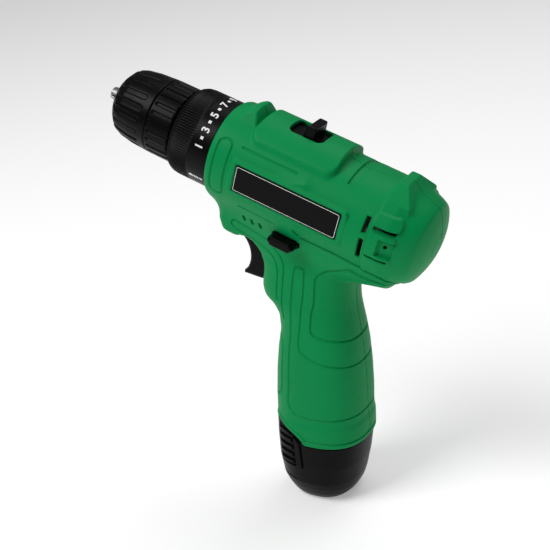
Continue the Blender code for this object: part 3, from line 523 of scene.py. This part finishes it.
def housing_holes(x, y, z):
    """Openings through the walls, negative inside them."""
    side = np.abs(y)
    mouth = np.maximum(outline_distance(x, z, TRIGGER_MOUTH), side - 8.2)
    slot = np.maximum(rounded_box(x + 19.8, 9.0, y, 7.0, 3.0), 18.0 - z)
    button = octagon(x, z, GAP)
    vents = [rounded_box(x - 25.6, 1.1, z - 7.6, 3.8, 0.2), rounded_box(x - 25.6, 1.1, z + 4.25, 5.15, 0.2),
             rounded_box(x - 34.8, 5.3, z - 8.9, 1.1, 0.2), rounded_box(x - 34.2, 5.4, z + 5.3, 0.7, 0.5),
             np.hypot(x - 37.2, z - 1.9) - 0.9]
    vents = np.maximum(np.minimum.reduce(vents), 15.0 - side)
    return np.minimum.reduce([mouth, slot, button, vents])


def octagon(x, z, grow):
    """Side view of the reversing button."""
    across = np.abs(x - BUTTON[0]) - 7.0 - grow
    up = np.abs(z - BUTTON[1]) - 2.7 - grow
    return np.maximum(np.maximum(across, up), (across + up + 1.9) * 0.7071)


def nearest_screw(x, z):
    """Distance from the axis of the nearest housing screw."""
    return np.minimum.reduce([np.hypot(x - sx, z - sz) for sx, sz, _ in SCREWS])


def bosses(x, y, z):
    posts = [np.maximum(np.hypot(x - sx, z - sz) - 2.9, np.abs(y) - reach) for sx, sz, reach in SCREWS]
    return np.minimum.reduce(posts)


def screw_holes(x, y, z):
    """Clearance holes and counterbores, in the right shell only."""
    away = nearest_screw(x, z)
    return np.minimum(away - 1.4, np.maximum(away - 2.3, 5.6 - y))


def shell(side):
    """Field of one half of the housing; side is -1 for the left one and 1 for the right one."""
    def field(x, y, z):
        outside = housing_skin(x, y, z) + tail_details(x, y, z)
        body = np.maximum(outside, -housing_hollow(x, y, z))
        body = np.minimum(body, np.maximum(bosses(x, y, z), outside))
        body = round_max(body, -housing_holes(x, y, z), 0.5)
        if side > 0:
            body = np.maximum(body, -screw_holes(x, y, z))
        else:
            body = np.maximum(body, -np.maximum(nearest_screw(x, z) - 1.4, -5.0 - y))
        return round_max(body, 0.08 - side * y, 0.3)
    return field


def grain(x, y, z):
    """Where the grip is textured."""
    wx, wz = wrapped(x, y, z)
    outside = outline_distance(wx, wz, PANEL + [(40.0, -70.4), (40.0, -38.0)])
    lower = outline_distance(wx, wz, STRIP[8:] + BAND[:7:-1])
    return step_down(np.minimum(outside, lower), 0.8) * (np.abs(y) > 0.5)


def build_housing(material):
    for name, side in (("left", -1), ("right", 1)):
        low = (NOSE_X - 2.0, -0.8 if side > 0 else -27.6, -138.0)
        high = (58.6, low[1] + 28.4, 28.6)
        mesh = moulded(name + "_shell", shell(side), low, high, FINE, TOOL_SPACE, grain)
        piece(name + "_shell", mesh, material, "housing", "green_shell", name + "_housing")


# ---------------------------------------------------------------- turned pieces

def softened(points, radius, closed=True):
    """Chain of points with each corner swapped for a short curve."""
    count = len(points)
    path = []
    for index, corner in enumerate(points):
        if not closed and index in (0, count - 1):
            path.append(corner)
            continue
        before, after = np.array(points[index - 1]), np.array(points[(index + 1) % count])
        here = np.array(corner)
        reach_in = min(radius, 0.45 * np.linalg.norm(before - here))
        reach_out = min(radius, 0.45 * np.linalg.norm(after - here))
        start = here + (before - here) * reach_in / np.linalg.norm(before - here)
        end = here + (after - here) * reach_out / np.linalg.norm(after - here)
        for t in (0.0, 0.25, 0.5, 0.75, 1.0):
            path.append(tuple((1 - t) ** 2 * start + 2 * t * (1 - t) * here + t * t * end))
    return path


def divided(path, step):
    """Closed chain with its long stretches cut into short ones."""
    out = []
    for a, b in zip(path, path[1:] + path[:1]):
        pieces = max(1, int(math.hypot(b[0] - a[0], b[1] - a[1]) / step))
        out += [(a[0] + (b[0] - a[0]) * k / pieces, a[1] + (b[1] - a[1]) * k / pieces) for k in range(pieces)]
    return out


def turned(name, outline, around, radius=0.5, step=0.8, shape=None):
    """Ring about the spindle from a closed outline of (x, radius); shape(x, r, angle) lowers its surface."""
    path = np.array(divided(softened(outline, radius), step))
    angle = np.arange(around) * 2.0 * math.pi / around
    x = np.repeat(path[:, 0:1], around, 1)
    r = np.repeat(path[:, 1:2], around, 1)
    turn = np.repeat(angle[None, :], len(path), 0)
    if shape:
        r = r - shape(x, r, turn)
    points = np.stack([x, -r * np.cos(turn), r * np.sin(turn)], -1).reshape(-1, 3)
    i = np.arange(len(path))[:, None]
    j = np.arange(around)[None, :]
    ahead, beside = (i + 1) % len(path), (j + 1) % around
    faces = np.stack([i * around + j, i * around + beside, ahead * around + beside, ahead * around + j], -1)
    return toward_world(name, points, faces.reshape(-1, 4), TOOL_SPACE, 40.0)


def toward_world(name, points, faces, space, sharp):
    """Mesh with edges sharper than an angle left hard; its faces are turned outwards."""
    place = np.array(space)
    mesh = mesh_from(points @ place[:3, :3].T + place[:3, 3], faces)
    mesh.set_sharp_from_angle(angle=math.radians(sharp))
    mesh.name = name
    if enclosed(mesh) < 0.0:
        mesh.flip_normals()
    return mesh


def enclosed(mesh):
    """Volume inside a closed mesh, negative when its faces look inwards."""
    corner = np.zeros(len(mesh.vertices) * 3)
    mesh.vertices.foreach_get("co", corner)
    corner = corner.reshape(-1, 3)
    mesh.calc_loop_triangles()
    triangles = np.zeros(len(mesh.loop_triangles) * 3, np.int32)
    mesh.loop_triangles.foreach_get("vertices", triangles)
    a, b, c = (corner[triangles.reshape(-1, 3)[:, k]] for k in range(3))
    return float((a * np.cross(b, c)).sum()) / 6.0


RIBS = 108


def flute(turn, along, count, phase, half):
    """Distance outside a ring of long hollows; along is how far a point lies past their round end."""
    pitch = 2.0 * math.pi / count
    across = (np.mod(turn - phase + pitch / 2.0, pitch) - pitch / 2.0) * CHUCK_R
    return np.hypot(across, np.maximum(along, 0.0)) - half


def front_flutes(x, r, turn):
    """Finger grips: long hollows that start below the nose and end round ahead of the seam."""
    away = np.maximum(flute(turn, x + 102.6, 20, math.radians(8.6), 1.5), -118.2 - x)
    return 0.75 * step_down(away, 0.5) * (r > 12.5 + (x > -116.6) * 3.0 + (x > -108.5) * 1.0)


def rear_flutes(x, r, turn):
    away = flute(turn, -94.6 - x, 26, math.radians(1.5), 0.9)
    return 0.7 * step_down(away, 0.5) * (r > 17.75 - (x > -85.8) * 2.4)


def collar_ribs(x, r, turn):
    """Fine ribs on the front of the collar; the number band behind them is smooth."""
    wave = 0.5 + 0.5 * np.cos(turn * RIBS)
    return 0.4 * wave ** 1.5 * step_down(x + 69.8, 0.5) * step_down(-81.9 - x, 0.5) * (r > 20.1)


def build_chuck(black, metal_bright):
    front = [(-120.4, 11.2), (-120.6, 12.0), (-119.8, 13.2), (-117.0, 16.4), (-113.8, 17.6), (-107.0, 18.7),
             (-97.1, 19.2), (-97.1, 17.6), (-107.0, 17.2), (-109.0, 16.2), (-116.2, 14.8), (-118.0, 13.2)]
    mesh = turned("chuck_front", front, 480, 0.6, 0.4, front_flutes)
    piece("chuck_front", mesh, black, "chuck_sleeve", "black_plastic", "front_sleeve")
    rear = [(-96.85, 17.7), (-96.85, 19.2), (-84.0, 19.2), (-83.2, 18.4), (-83.2, 15.0), (-86.0, 15.0),
            (-86.6, 17.7)]
    mesh = turned("chuck_rear", rear, 520, 0.6, 0.4, rear_flutes)
    piece("chuck_rear", mesh, black, "spindle", "black_plastic", "rear_sleeve")
    collar = [(-82.4, 9.4), (-82.4, 19.4), (-81.6, 21.0), (-79.6, 21.9), (-77.0, 22.2), (-58.9, 22.2),
              (-58.9, 20.0), (-77.0, 20.0), (-79.0, 18.6), (-80.6, 9.4)]
    mesh = turned("collar", collar, RIBS * 8, 0.5, 0.6, collar_ribs)
    piece("collar", mesh, black, "clutch_collar", "black_plastic", "torque_collar")
    mesh = moulded("chuck_core", chuck_core, (-123.0, -15.4, -15.4), (-82.6, 15.4, 15.4), 0.35, TOOL_SPACE)
    piece("chuck_core", mesh, metal_bright, "spindle", "steel", "chuck_body")
    for number in range(3):
        low, high = jaw_box(number)
        node = "jaw_%d" % (number + 1)
        name = "jaw_tip_%d" % (number + 1)
        mesh = moulded(name, jaw_field(number), low, high, 0.22, TOOL_SPACE)
        piece(name, mesh, metal_bright, node, "steel", node)


def outline_turned(x, y, z, outline):
    return outline_distance(x, np.hypot(y, z), outline)


def jaw_axis(number):
    spread_angle = 2.0 * math.pi * number / 3.0
    return math.cos(spread_angle), math.sin(spread_angle)


def jaw_rod(x, y, z, number, radius):
    """Distance from a jaw's round rod, which slopes from the nose towards the tail."""
    across_y, across_z = jaw_axis(number)
    out = y * across_y + z * across_z
    beside = z * across_y - y * across_z
    along = x - JAW_TIP_X
    rise = out - JAW_R / math.cos(JAW_ANGLE) - along * math.tan(JAW_ANGLE)
    return np.hypot(rise * math.cos(JAW_ANGLE), beside) - radius


def chuck_core(x, y, z):
    core = [(-121.6, 5.4), (-122.2, 6.2), (-122.2, 8.6), (-120.6, 10.6), (-117.4, 12.4), (-110.0, 13.0),
            (-109.4, 14.6), (-83.2, 14.6), (-83.2, 5.6), (-101.0, 5.6), (-101.0, 6.6), (-117.0, 6.6)]
    body = outline_turned(x, y, z, core)
    for number in range(3):
        body = np.maximum(body, -jaw_rod(x, y, z, number, JAW_R + 0.3))
    return body


def jaw_field(number):
    across_y, across_z = jaw_axis(number)
    ground = [(JAW_TIP_X, 0.0), (JAW_TIP_X, 3.0), (-121.0, 4.6), (-117.0, 8.4), (-104.0, 21.0), (-104.0, 0.0)]

    def field(x, y, z):
        out = y * across_y + z * across_z
        beside = z * across_y - y * across_z
        body = jaw_rod(x, y, z, number, JAW_R)
        length = (x - JAW_TIP_X) * math.cos(JAW_ANGLE) + out * math.sin(JAW_ANGLE)
        body = np.maximum(body, length - 23.0)
        body = round_max(body, outline_turned(x, y, z, ground), 0.3)
        inner = out - JAW_SPLIT / 0.866
        sector = np.abs(beside) * math.cos(math.pi / 3.0) - inner * math.sin(math.pi / 3.0)
        return round_max(body, sector, 0.25)
    return field


def jaw_box(number):
    across_y, across_z = jaw_axis(number)
    centre_y, centre_z = across_y * 6.3, across_z * 6.3
    low = (JAW_TIP_X - 1.0, centre_y - 8.0, centre_z - 8.0)
    high = (JAW_TIP_X + 24.6, centre_y + 8.0, centre_z + 8.0)
    return low, high


# ---------------------------------------------------------------- printed scale

SCALE_STEP = math.radians(10.8)
SCALE_START = math.radians(16.0)
SCALE_X = -64.7


def on_collar(u, v, up, turn):
    """Point of a flat sign laid on the collar; v points to the chuck and u up the left side."""
    angle = turn + u / COLLAR_R
    r = COLLAR_R + up
    return SCALE_X - v, -r * math.cos(angle), r * math.sin(angle)


def text_shape(text, size):
    """Flat solid letters from the built-in font, centred."""
    curve = bpy.data.curves.new("figure", 'FONT')
    curve.body = text
    curve.size = size
    curve.extrude = 0.06
    curve.offset = 0.13
    curve.resolution_u = 4
    curve.align_x = 'CENTER'
    holder = bpy.data.objects.new("figure", curve)
    bpy.context.scene.collection.objects.link(holder)
    mesh = bpy.data.meshes.new_from_object(holder.evaluated_get(bpy.context.evaluated_depsgraph_get()))
    points = [tuple(vertex.co) for vertex in mesh.vertices]
    faces = [tuple(face.vertices) for face in mesh.polygons]
    bpy.data.objects.remove(holder)
    middle = (min(p[1] for p in points) + max(p[1] for p in points)) / 2.0
    return [(x, y - middle, z) for x, y, z in points], faces


def flat_shape(outline):
    """Flat solid from an outline of (u, v) points, of the same thickness as the letters."""
    count = len(outline)
    points = [(u, v, h) for h in (-0.06, 0.06) for u, v in outline]
    faces = [tuple(range(count - 1, -1, -1)), tuple(range(count, 2 * count))]
    faces += [(k, (k + 1) % count, (k + 1) % count + count, k + count) for k in range(count)]
    return points, faces


def drill_sign():
    """Plain sign of a twist bit: tip, three turns of the flute, shank."""
    shapes = [flat_shape([(-0.8, 3.0), (-0.8, 2.2), (0.8, 2.2), (0.8, 3.0), (0.0, 3.9)])]
    for step in range(3):
        base = 1.8 - step * 1.5
        shapes.append(flat_shape([(-0.8, base), (-0.8, base - 0.9), (0.8, base - 0.3), (0.8, base + 0.6)]))
    shapes.append(flat_shape([(-0.55, -2.6), (-0.55, -4.0), (0.55, -4.0), (0.55, -2.2)]))
    return shapes


def build_scale():
    signs = []
    for mark in range(18):
        turn = SCALE_START + mark * SCALE_STEP
        if mark % 2 == 0:
            signs.append((text_shape(str(mark + 1), 5.6), turn))
        else:
            signs.append((flat_shape([(-0.75, -0.75), (0.75, -0.75), (0.75, 0.75), (-0.75, 0.75)]), turn))
    signs += [(shape, math.radians(-31.0)) for shape in drill_sign()]
    points, faces = [], []
    for (flat, flat_faces), turn in signs:
        base = len(points)
        points += [on_collar(u, v, up + 0.03, turn) for u, v, up in flat]
        faces += [tuple(base + k for k in face) for face in flat_faces]
    place = np.array(TOOL_SPACE)
    mesh = mesh_from(np.array(points) @ place[:3, :3].T + place[:3, 3], faces)
    mesh.set_sharp_from_angle(angle=math.radians(30.0))
    piece("scale_print", mesh, MARKING, "clutch_collar", "black_plastic")


# ---------------------------------------------------------------- labels and controls

def label_plate(x, y, z):
    plate = rounded_box(x + LABEL_X, 27.9, z - LABEL_Z, 6.9, 0.9)
    return round_max(plate, np.maximum(24.3 - np.abs(y), np.abs(y) - 24.8), 0.2)


def label_line(x, y, z):
    """Thin line printed just inside the plate's edge."""
    plate = rounded_box(x + LABEL_X, 27.1, z - LABEL_Z, 6.1, 0.7)
    return np.maximum(np.abs(plate) - 0.16, np.maximum(24.5 - np.abs(y), np.abs(y) - 24.86))


def build_labels():
    for name, side in (("left", -1), ("right", 1)):
        low, high = sorted((side * 24.1, side * 25.1))
        box = ((-43.0, low, -7.2), (14.6, high, 9.0))
        mesh = moulded("plate_" + name, label_plate, *box, 0.3, TOOL_SPACE)
        piece("plate_" + name, mesh, MATERIALS["black_plastic"], "housing", "black_plastic", "label_" + name)
        mesh = moulded("plate_line_" + name, label_line, *box, 0.12, TOOL_SPACE)
        piece("plate_line_" + name, mesh, MARKING, "housing", "black_plastic")


def trigger_side():
    turns = [math.radians(58.0 - 82.0 * k / 16.0) for k in range(17)]
    front = [(-46.6 + 14.4 * math.cos(turn), -50.4 + 14.4 * math.sin(turn)) for turn in turns]
    return [(-41.6, -36.2)] + front + [(-34.2, -56.8), (-33.4, -58.0), (-24.0, -56.6), (-17.4, -54.6),
                                       (-14.8, -52.0), (-14.8, -34.6), (-16.8, -32.6), (-38.6, -32.6)]


def trigger_field(x, y, z):
    """Trigger with a hollow front and round edges."""
    return round_max(outline_distance(x, z, trigger_side()), np.abs(y) - 7.8, 2.6)


def button_field(x, y, z):
    """Reversing button: an octagon that narrows a little towards its two ends."""
    taper = np.maximum(np.abs(y + 1.6) - 20.6, 0.0) * 0.16
    return round_max(octagon(x, z, -taper), np.maximum(-25.0 - y, y - 21.8), 1.0)


def selector_field(x, y, z):
    """Gear selector: a plate under the slot and an upright tab that widens downwards."""
    plate = np.maximum(rounded_box(x + 16.8, 12.8, y, 6.9, 0.8), np.maximum(23.2 - z, z - 24.5))
    spread_out = (31.6 - z) * 0.12
    knob = rounded_box(x + 17.6 + spread_out, 2.2 + spread_out, y, 6.1 + spread_out * 0.5, 0.9)
    knob = round_max(knob, np.maximum(23.6 - z, z - 31.6), 0.9)
    return np.minimum(plate, knob)


def selector_track(x, y, z):
    """Floor seen through the slot, with an arrow cut into it."""
    bed = np.maximum(rounded_box(x + 19.8, 16.0, y, 6.9, 0.8), np.maximum(21.2 - z, z - 22.9))
    head = [(-25.2, 0.35), (-25.2, 1.2), (-26.4, 0.0), (-25.2, -1.2), (-25.2, -0.35)]
    arrow = outline_distance(x, y, head + [(-22.0, -0.35), (-22.0, 0.35)])
    return np.maximum(bed, -np.maximum(arrow, 22.4 - z))


def build_controls():
    black = MATERIALS["black_plastic"]
    # each: piece, field, corners of its box, grid step, body, and the node that it replaces
    controls = (
        ("trigger_cap", trigger_field, (-43.0, -8.6, -59.0), (-14.0, 8.6, -31.8), 0.4, "trigger", "trigger"),
        ("reverse_button", button_field, (-20.0, -26.0, -25.6), (-4.0, 22.8, -18.2), 0.35,
         "direction_button", "direction_button"),
        ("gear_knob", selector_field, (-30.4, -7.6, 22.6), (-3.2, 7.6, 33.2), 0.3,
         "gear_selector", "gear_selector"),
    )
    for name, field, low, high, step, body, node in controls:
        piece(name, moulded(name, field, low, high, step, TOOL_SPACE), black, body, "black_plastic", node)
    mesh = moulded("gear_track", selector_track, (-36.6, -7.6, 20.6), (-3.0, 7.6, 23.6), 0.3, TOOL_SPACE)
    piece("gear_track", mesh, MATERIALS["dark_nylon"], "housing", "dark_nylon")


# ---------------------------------------------------------------- battery

LATCH = [(-34.6, -143.0), (-21.0, -143.0), (-21.0, -127.8), (-24.2, -124.6), (-34.6, -119.8)]
LATCH_BAR = [(-24.0, -143.0), (-21.0, -143.0), (-21.0, -127.8), (-24.0, -124.8)]
CELLS = [(-13.15, -6.8), (4.75, -6.8), (-4.2, 8.6)]
CELL_R = 8.95
CELL_LOW = -154.7


def pack_outside(x, y, z):
    """Lower part of the battery, grip coordinates."""
    front, rear, half, power = (station(z, PACK, column, 0.8) for column in (1, 2, 3, 4))
    reach = (rear - front) / 2.0
    return oval(y, x - (front + rear) / 2.0, half, reach, reach, power)


def stem_outside(x, y, z, inset=0.0):
    """Part of the battery inside the grip, grip coordinates."""
    px = x * math.cos(LEAN) - z * math.sin(LEAN)
    pz = z * math.cos(LEAN) + x * math.sin(LEAN)
    side = oval(y, px + 4.2, 18.0 - inset, 19.7 - inset, 19.7 - inset, 2.9)
    return side, px, pz


def case_field(x, y, z):
    foot = round_max(pack_outside(x, y, z), FOOT_Z - z, 0.8)
    seam = [(-60.0, RIM_Z - 60.0), (60.0, RIM_Z - 60.0), (60.0, RIM_Z - GAP)]
    seam += [(a, b - GAP) for a, b in NOTCH_LINE] + [(-60.0, NOTCH_Z - GAP)]
    foot = round_max(foot, outline_distance(x, z, seam), 0.5)
    side, px, pz = stem_outside(x, y, z)
    stem = round_max(side, np.maximum(-124.0 - pz, pz - STEM_TOP_Z), 1.0)
    body = np.minimum(foot, stem)
    cavity = np.maximum(stem_outside(x, y, z, 0.7)[0], np.maximum(-120.0 - pz, pz - STEM_TOP_Z - 5.0))
    wells = [np.hypot(px - cx, y - cy) - CELL_R for cx, cy in CELLS]
    wells = np.maximum(np.minimum.reduce(wells), CELL_LOW - pz)
    body = np.maximum(body, -np.minimum(cavity, wells))
    pocket = np.maximum(outline_distance(x, z, LATCH) - 0.4, 16.0 - np.abs(y))
    body = round_max(body, -pocket, 0.3)
    line = line_distance(x, z, [(-40.0, -149.0), (-33.0, -151.2), (-26.0, -151.8)])
    return body + groove(line, 0.9, 0.5)


def latch_field(x, y, z):
    """Latch pad that follows the battery's side: ridges for the thumb and a smooth bar behind them."""
    bar = outline_distance(x, z, LATCH_BAR)
    ridges = np.abs(np.mod(z + 125.4, 4.4) - 2.2) - 1.0
    pad = -0.4 + 1.1 * step_down(np.maximum(ridges, x + 25.6), 0.5) * (z < -122.6)
    lift = np.where(bar < 0.4, 0.7, pad)
    surface = pack_outside(x, y, z) - lift
    joint = groove(line_distance(x, z, [(-24.6, -143.5), (-24.6, -122.4)]), 0.9, 1.2)
    body = round_max(outline_distance(x, z, LATCH), surface + joint, 0.5)
    return np.maximum(body, 16.9 - np.abs(y))


def build_battery():
    black = MATERIALS["black_plastic"]
    mesh = moulded("case", case_field, (-42.5, -22.8, -166.0), (20.5, 22.8, -84.0), FINE, GRIP_SPACE)
    piece("case", mesh, black, "battery", "black_plastic", "battery_case")
    for name, side in (("left", -1), ("right", 1)):
        low, high = sorted((side * 16.4, side * 22.6))
        box = ((-35.4, low, -143.8), (-20.2, high, -119.0))
        mesh = moulded("pad_" + name, latch_field, *box, 0.2, GRIP_SPACE)
        piece("pad_" + name, mesh, black, "latch_" + name, "black_plastic", "latch_" + name)


# ---------------------------------------------------------------- housing screws

def screw_field(x, y, z):
    """Pan-head screw along y with a cross recess, its head's top at y = 8."""
    away = np.hypot(x, z)
    head = round_max(away - 2.0, np.maximum(5.9 - y, y - 8.0), 0.7)
    cross = np.minimum(rounded_box(x, 1.2, z, 0.28, 0.1), rounded_box(x, 0.28, z, 1.2, 0.1))
    head = np.maximum(head, -np.maximum(cross + np.maximum(8.0 - y, 0.0) * 0.25, 6.6 - y))
    return np.minimum(head, round_max(away - 1.05, np.maximum(-4.6 - y, y - 6.2), 0.4))


def build_screws():
    points, quads = net(screw_field, (-2.8, -5.4, -2.8), (2.8, 8.8, 2.8), 0.2)
    normals = gradient(screw_field, points, 0.05)
    normals /= np.maximum(np.linalg.norm(normals, axis=1), 1e-9)[:, None]
    place = np.array(TOOL_SPACE)
    turn = np.array(TOOL_SPACE.to_3x3().normalized())
    for number, (sx, sz, _) in enumerate(SCREWS, 1):
        moved = points + np.array([sx, 0.0, sz])
        mesh = mesh_from(moved @ place[:3, :3].T + place[:3, 3], quads, normals @ turn.T)
        piece("screw_%d" % number, mesh, MATERIALS["steel"], "housing", "steel", "housing_screw_%d" % number)


# ---------------------------------------------------------------- materials

def new_material(name):
    material = bpy.data.materials.new(name)
    material.use_nodes = True
    return material, material.node_tree.nodes, material.node_tree.links, \
        material.node_tree.nodes["Principled BSDF"]


def speckle(nodes, links, scale, detail=2.0):
    coordinates = nodes.new("ShaderNodeTexCoord")
    noise = nodes.new("ShaderNodeTexNoise")
    noise.inputs["Scale"].default_value = scale
    noise.inputs["Detail"].default_value = detail
    links.new(coordinates.outputs["Object"], noise.inputs["Vector"])
    return noise.outputs["Fac"]


def spread(nodes, links, source, low, high):
    ramp = nodes.new("ShaderNodeMapRange")
    ramp.inputs["From Min"].default_value = 0.3
    ramp.inputs["From Max"].default_value = 0.7
    ramp.inputs["To Min"].default_value = low
    ramp.inputs["To Max"].default_value = high
    links.new(source, ramp.inputs["Value"])
    return ramp.outputs["Result"]


def plastic(name, colour, roughness, grain_size=0.00045, bump=0.25, textured=False, contrast=0.06):
    """Moulded plastic: spark-eroded grain, slight changes of colour and sheen."""
    material, nodes, links, shader = new_material(name)
    fine = speckle(nodes, links, 1.0 / grain_size)
    broad = speckle(nodes, links, 35.0, 4.0)
    mix = nodes.new("ShaderNodeMix")
    mix.data_type = 'RGBA'
    mix.inputs["A"].default_value = [c * (1.0 - contrast) for c in colour] + [1.0]
    mix.inputs["B"].default_value = [c * (1.0 + contrast) for c in colour] + [1.0]
    links.new(broad, mix.inputs["Factor"])
    links.new(mix.outputs["Result"], shader.inputs["Base Color"])
    shader.inputs["Specular IOR Level"].default_value = 0.08
    links.new(spread(nodes, links, broad, roughness - 0.04, roughness + 0.04), shader.inputs["Roughness"])
    bump_node = nodes.new("ShaderNodeBump")
    bump_node.inputs["Distance"].default_value = grain_size * 0.25
    bump_node.inputs["Strength"].default_value = bump
    links.new(fine, bump_node.inputs["Height"])
    if textured:
        mask = nodes.new("ShaderNodeAttribute")
        mask.attribute_name = "grain"
        second = nodes.new("ShaderNodeBump")
        second.inputs["Distance"].default_value = 0.0003
        coarse = speckle(nodes, links, 1500.0, 1.0)
        links.new(coarse, second.inputs["Height"])
        links.new(mask.outputs["Fac"], second.inputs["Strength"])
        links.new(bump_node.outputs["Normal"], second.inputs["Normal"])
        bump_node = second
    links.new(bump_node.outputs["Normal"], shader.inputs["Normal"])
    return material


def metal(name, colour, roughness, stretch=(1.0, 1.0, 1.0)):
    """Turned or drawn metal with fine marks."""
    material, nodes, links, shader = new_material(name)
    shader.inputs["Base Color"].default_value = list(colour) + [1.0]
    shader.inputs["Metallic"].default_value = 1.0
    coordinates = nodes.new("ShaderNodeTexCoord")
    mapping = nodes.new("ShaderNodeMapping")
    mapping.inputs["Scale"].default_value = [900.0 * s for s in stretch]
    noise = nodes.new("ShaderNodeTexNoise")
    noise.inputs["Scale"].default_value = 1.0
    links.new(coordinates.outputs["Object"], mapping.inputs["Vector"])
    links.new(mapping.outputs["Vector"], noise.inputs["Vector"])
    links.new(spread(nodes, links, noise.outputs["Fac"], roughness - 0.06, roughness + 0.08),
              shader.inputs["Roughness"])
    return material


MATERIALS = {
    "green_shell": plastic("green_plastic", (0.0008, 0.245, 0.067), 0.46, textured=True),
    "black_plastic": plastic("black_plastic", (0.0018, 0.0018, 0.0021), 0.34, bump=0.2),
    "dark_nylon": plastic("dark_nylon", (0.03, 0.03, 0.033), 0.55),
    "steel": metal("steel", (0.33, 0.33, 0.34), 0.36),
    "brass": metal("brass", (0.8, 0.56, 0.25), 0.3),
    "copper": metal("winding", (0.72, 0.32, 0.16), 0.35, (0.2, 1.0, 1.0)),
    "cell_wrap": plastic("cell_wrap", (0.02, 0.1, 0.34), 0.3),
}
MARKING = plastic("white_print", (0.82, 0.82, 0.8), 0.5, bump=0.05)


def finish_frame():
    """Gives every frame part its own finish."""
    for row in frame["record"]["subparts"]:
        mesh = frame["nodes"][row["node"]].data
        mesh.materials.clear()
        mesh.materials.append(MATERIALS[row["material_slot"]])


# ---------------------------------------------------------------- stage

def build_stage():
    bpy.ops.mesh.primitive_plane_add(size=8.0, location=(0.0, 0.0, -0.0002))
    floor = bpy.context.object
    floor.name = "floor"
    material, _, _, shader = new_material("pale_floor")
    shader.inputs["Base Color"].default_value = (0.86, 0.86, 0.86, 1.0)
    shader.inputs["Roughness"].default_value = 0.9
    shader.inputs["Emission Color"].default_value = (1.0, 1.0, 1.0, 1.0)
    shader.inputs["Emission Strength"].default_value = 0.3
    floor.data.materials.append(material)
    world = bpy.data.worlds.new("studio")
    world.use_nodes = True
    world.node_tree.nodes["Background"].inputs["Color"].default_value = (1.0, 1.0, 1.0, 1.0)
    world.node_tree.nodes["Background"].inputs["Strength"].default_value = 0.2
    bpy.context.scene.world = world
    lamps = (("key", (-0.5, -0.75, 1.25), 0.7, 13.5), ("top", (0.25, 0.5, 1.4), 0.9, 7.5))
    for name, place, size, power in lamps:
        lamp = bpy.data.lights.new(name, 'AREA')
        lamp.energy = power
        lamp.size = size
        holder = bpy.data.objects.new(name, lamp)
        holder.location = place
        aim = ORIGIN - Vector(place)
        holder.rotation_euler = aim.to_track_quat('-Z', 'Y').to_euler()
        bpy.context.scene.collection.objects.link(holder)


def build_camera():
    """Camera at the front left, above the drill, with a slight roll."""
    forward = Vector((-0.48091, 0.77145, -0.41663)).normalized()
    up = Vector((-0.12710, 0.40883, 0.90372))
    right = forward.cross(up).normalized()
    up = right.cross(forward)
    data = bpy.data.cameras.new("camera")
    data.sensor_width = 36.0
    data.lens = 78.545
    data.clip_start = 0.01
    camera = bpy.data.objects.new("camera", data)
    bpy.context.scene.collection.objects.link(camera)
    camera.matrix_world = Matrix.Translation(ORIGIN + Vector((250.07, -461.96, 203.85)) * UNIT) @ \
        Matrix((right, up, -forward)).transposed().to_4x4()
    bpy.context.scene.camera = camera
    bpy.context.scene.view_settings.view_transform = 'Standard'


build_camera()
build_stage()
finish_frame()
build_housing(MATERIALS["green_shell"])
build_chuck(MATERIALS["black_plastic"], MATERIALS["steel"])
build_scale()
build_labels()
build_controls()
build_battery()
build_screws()
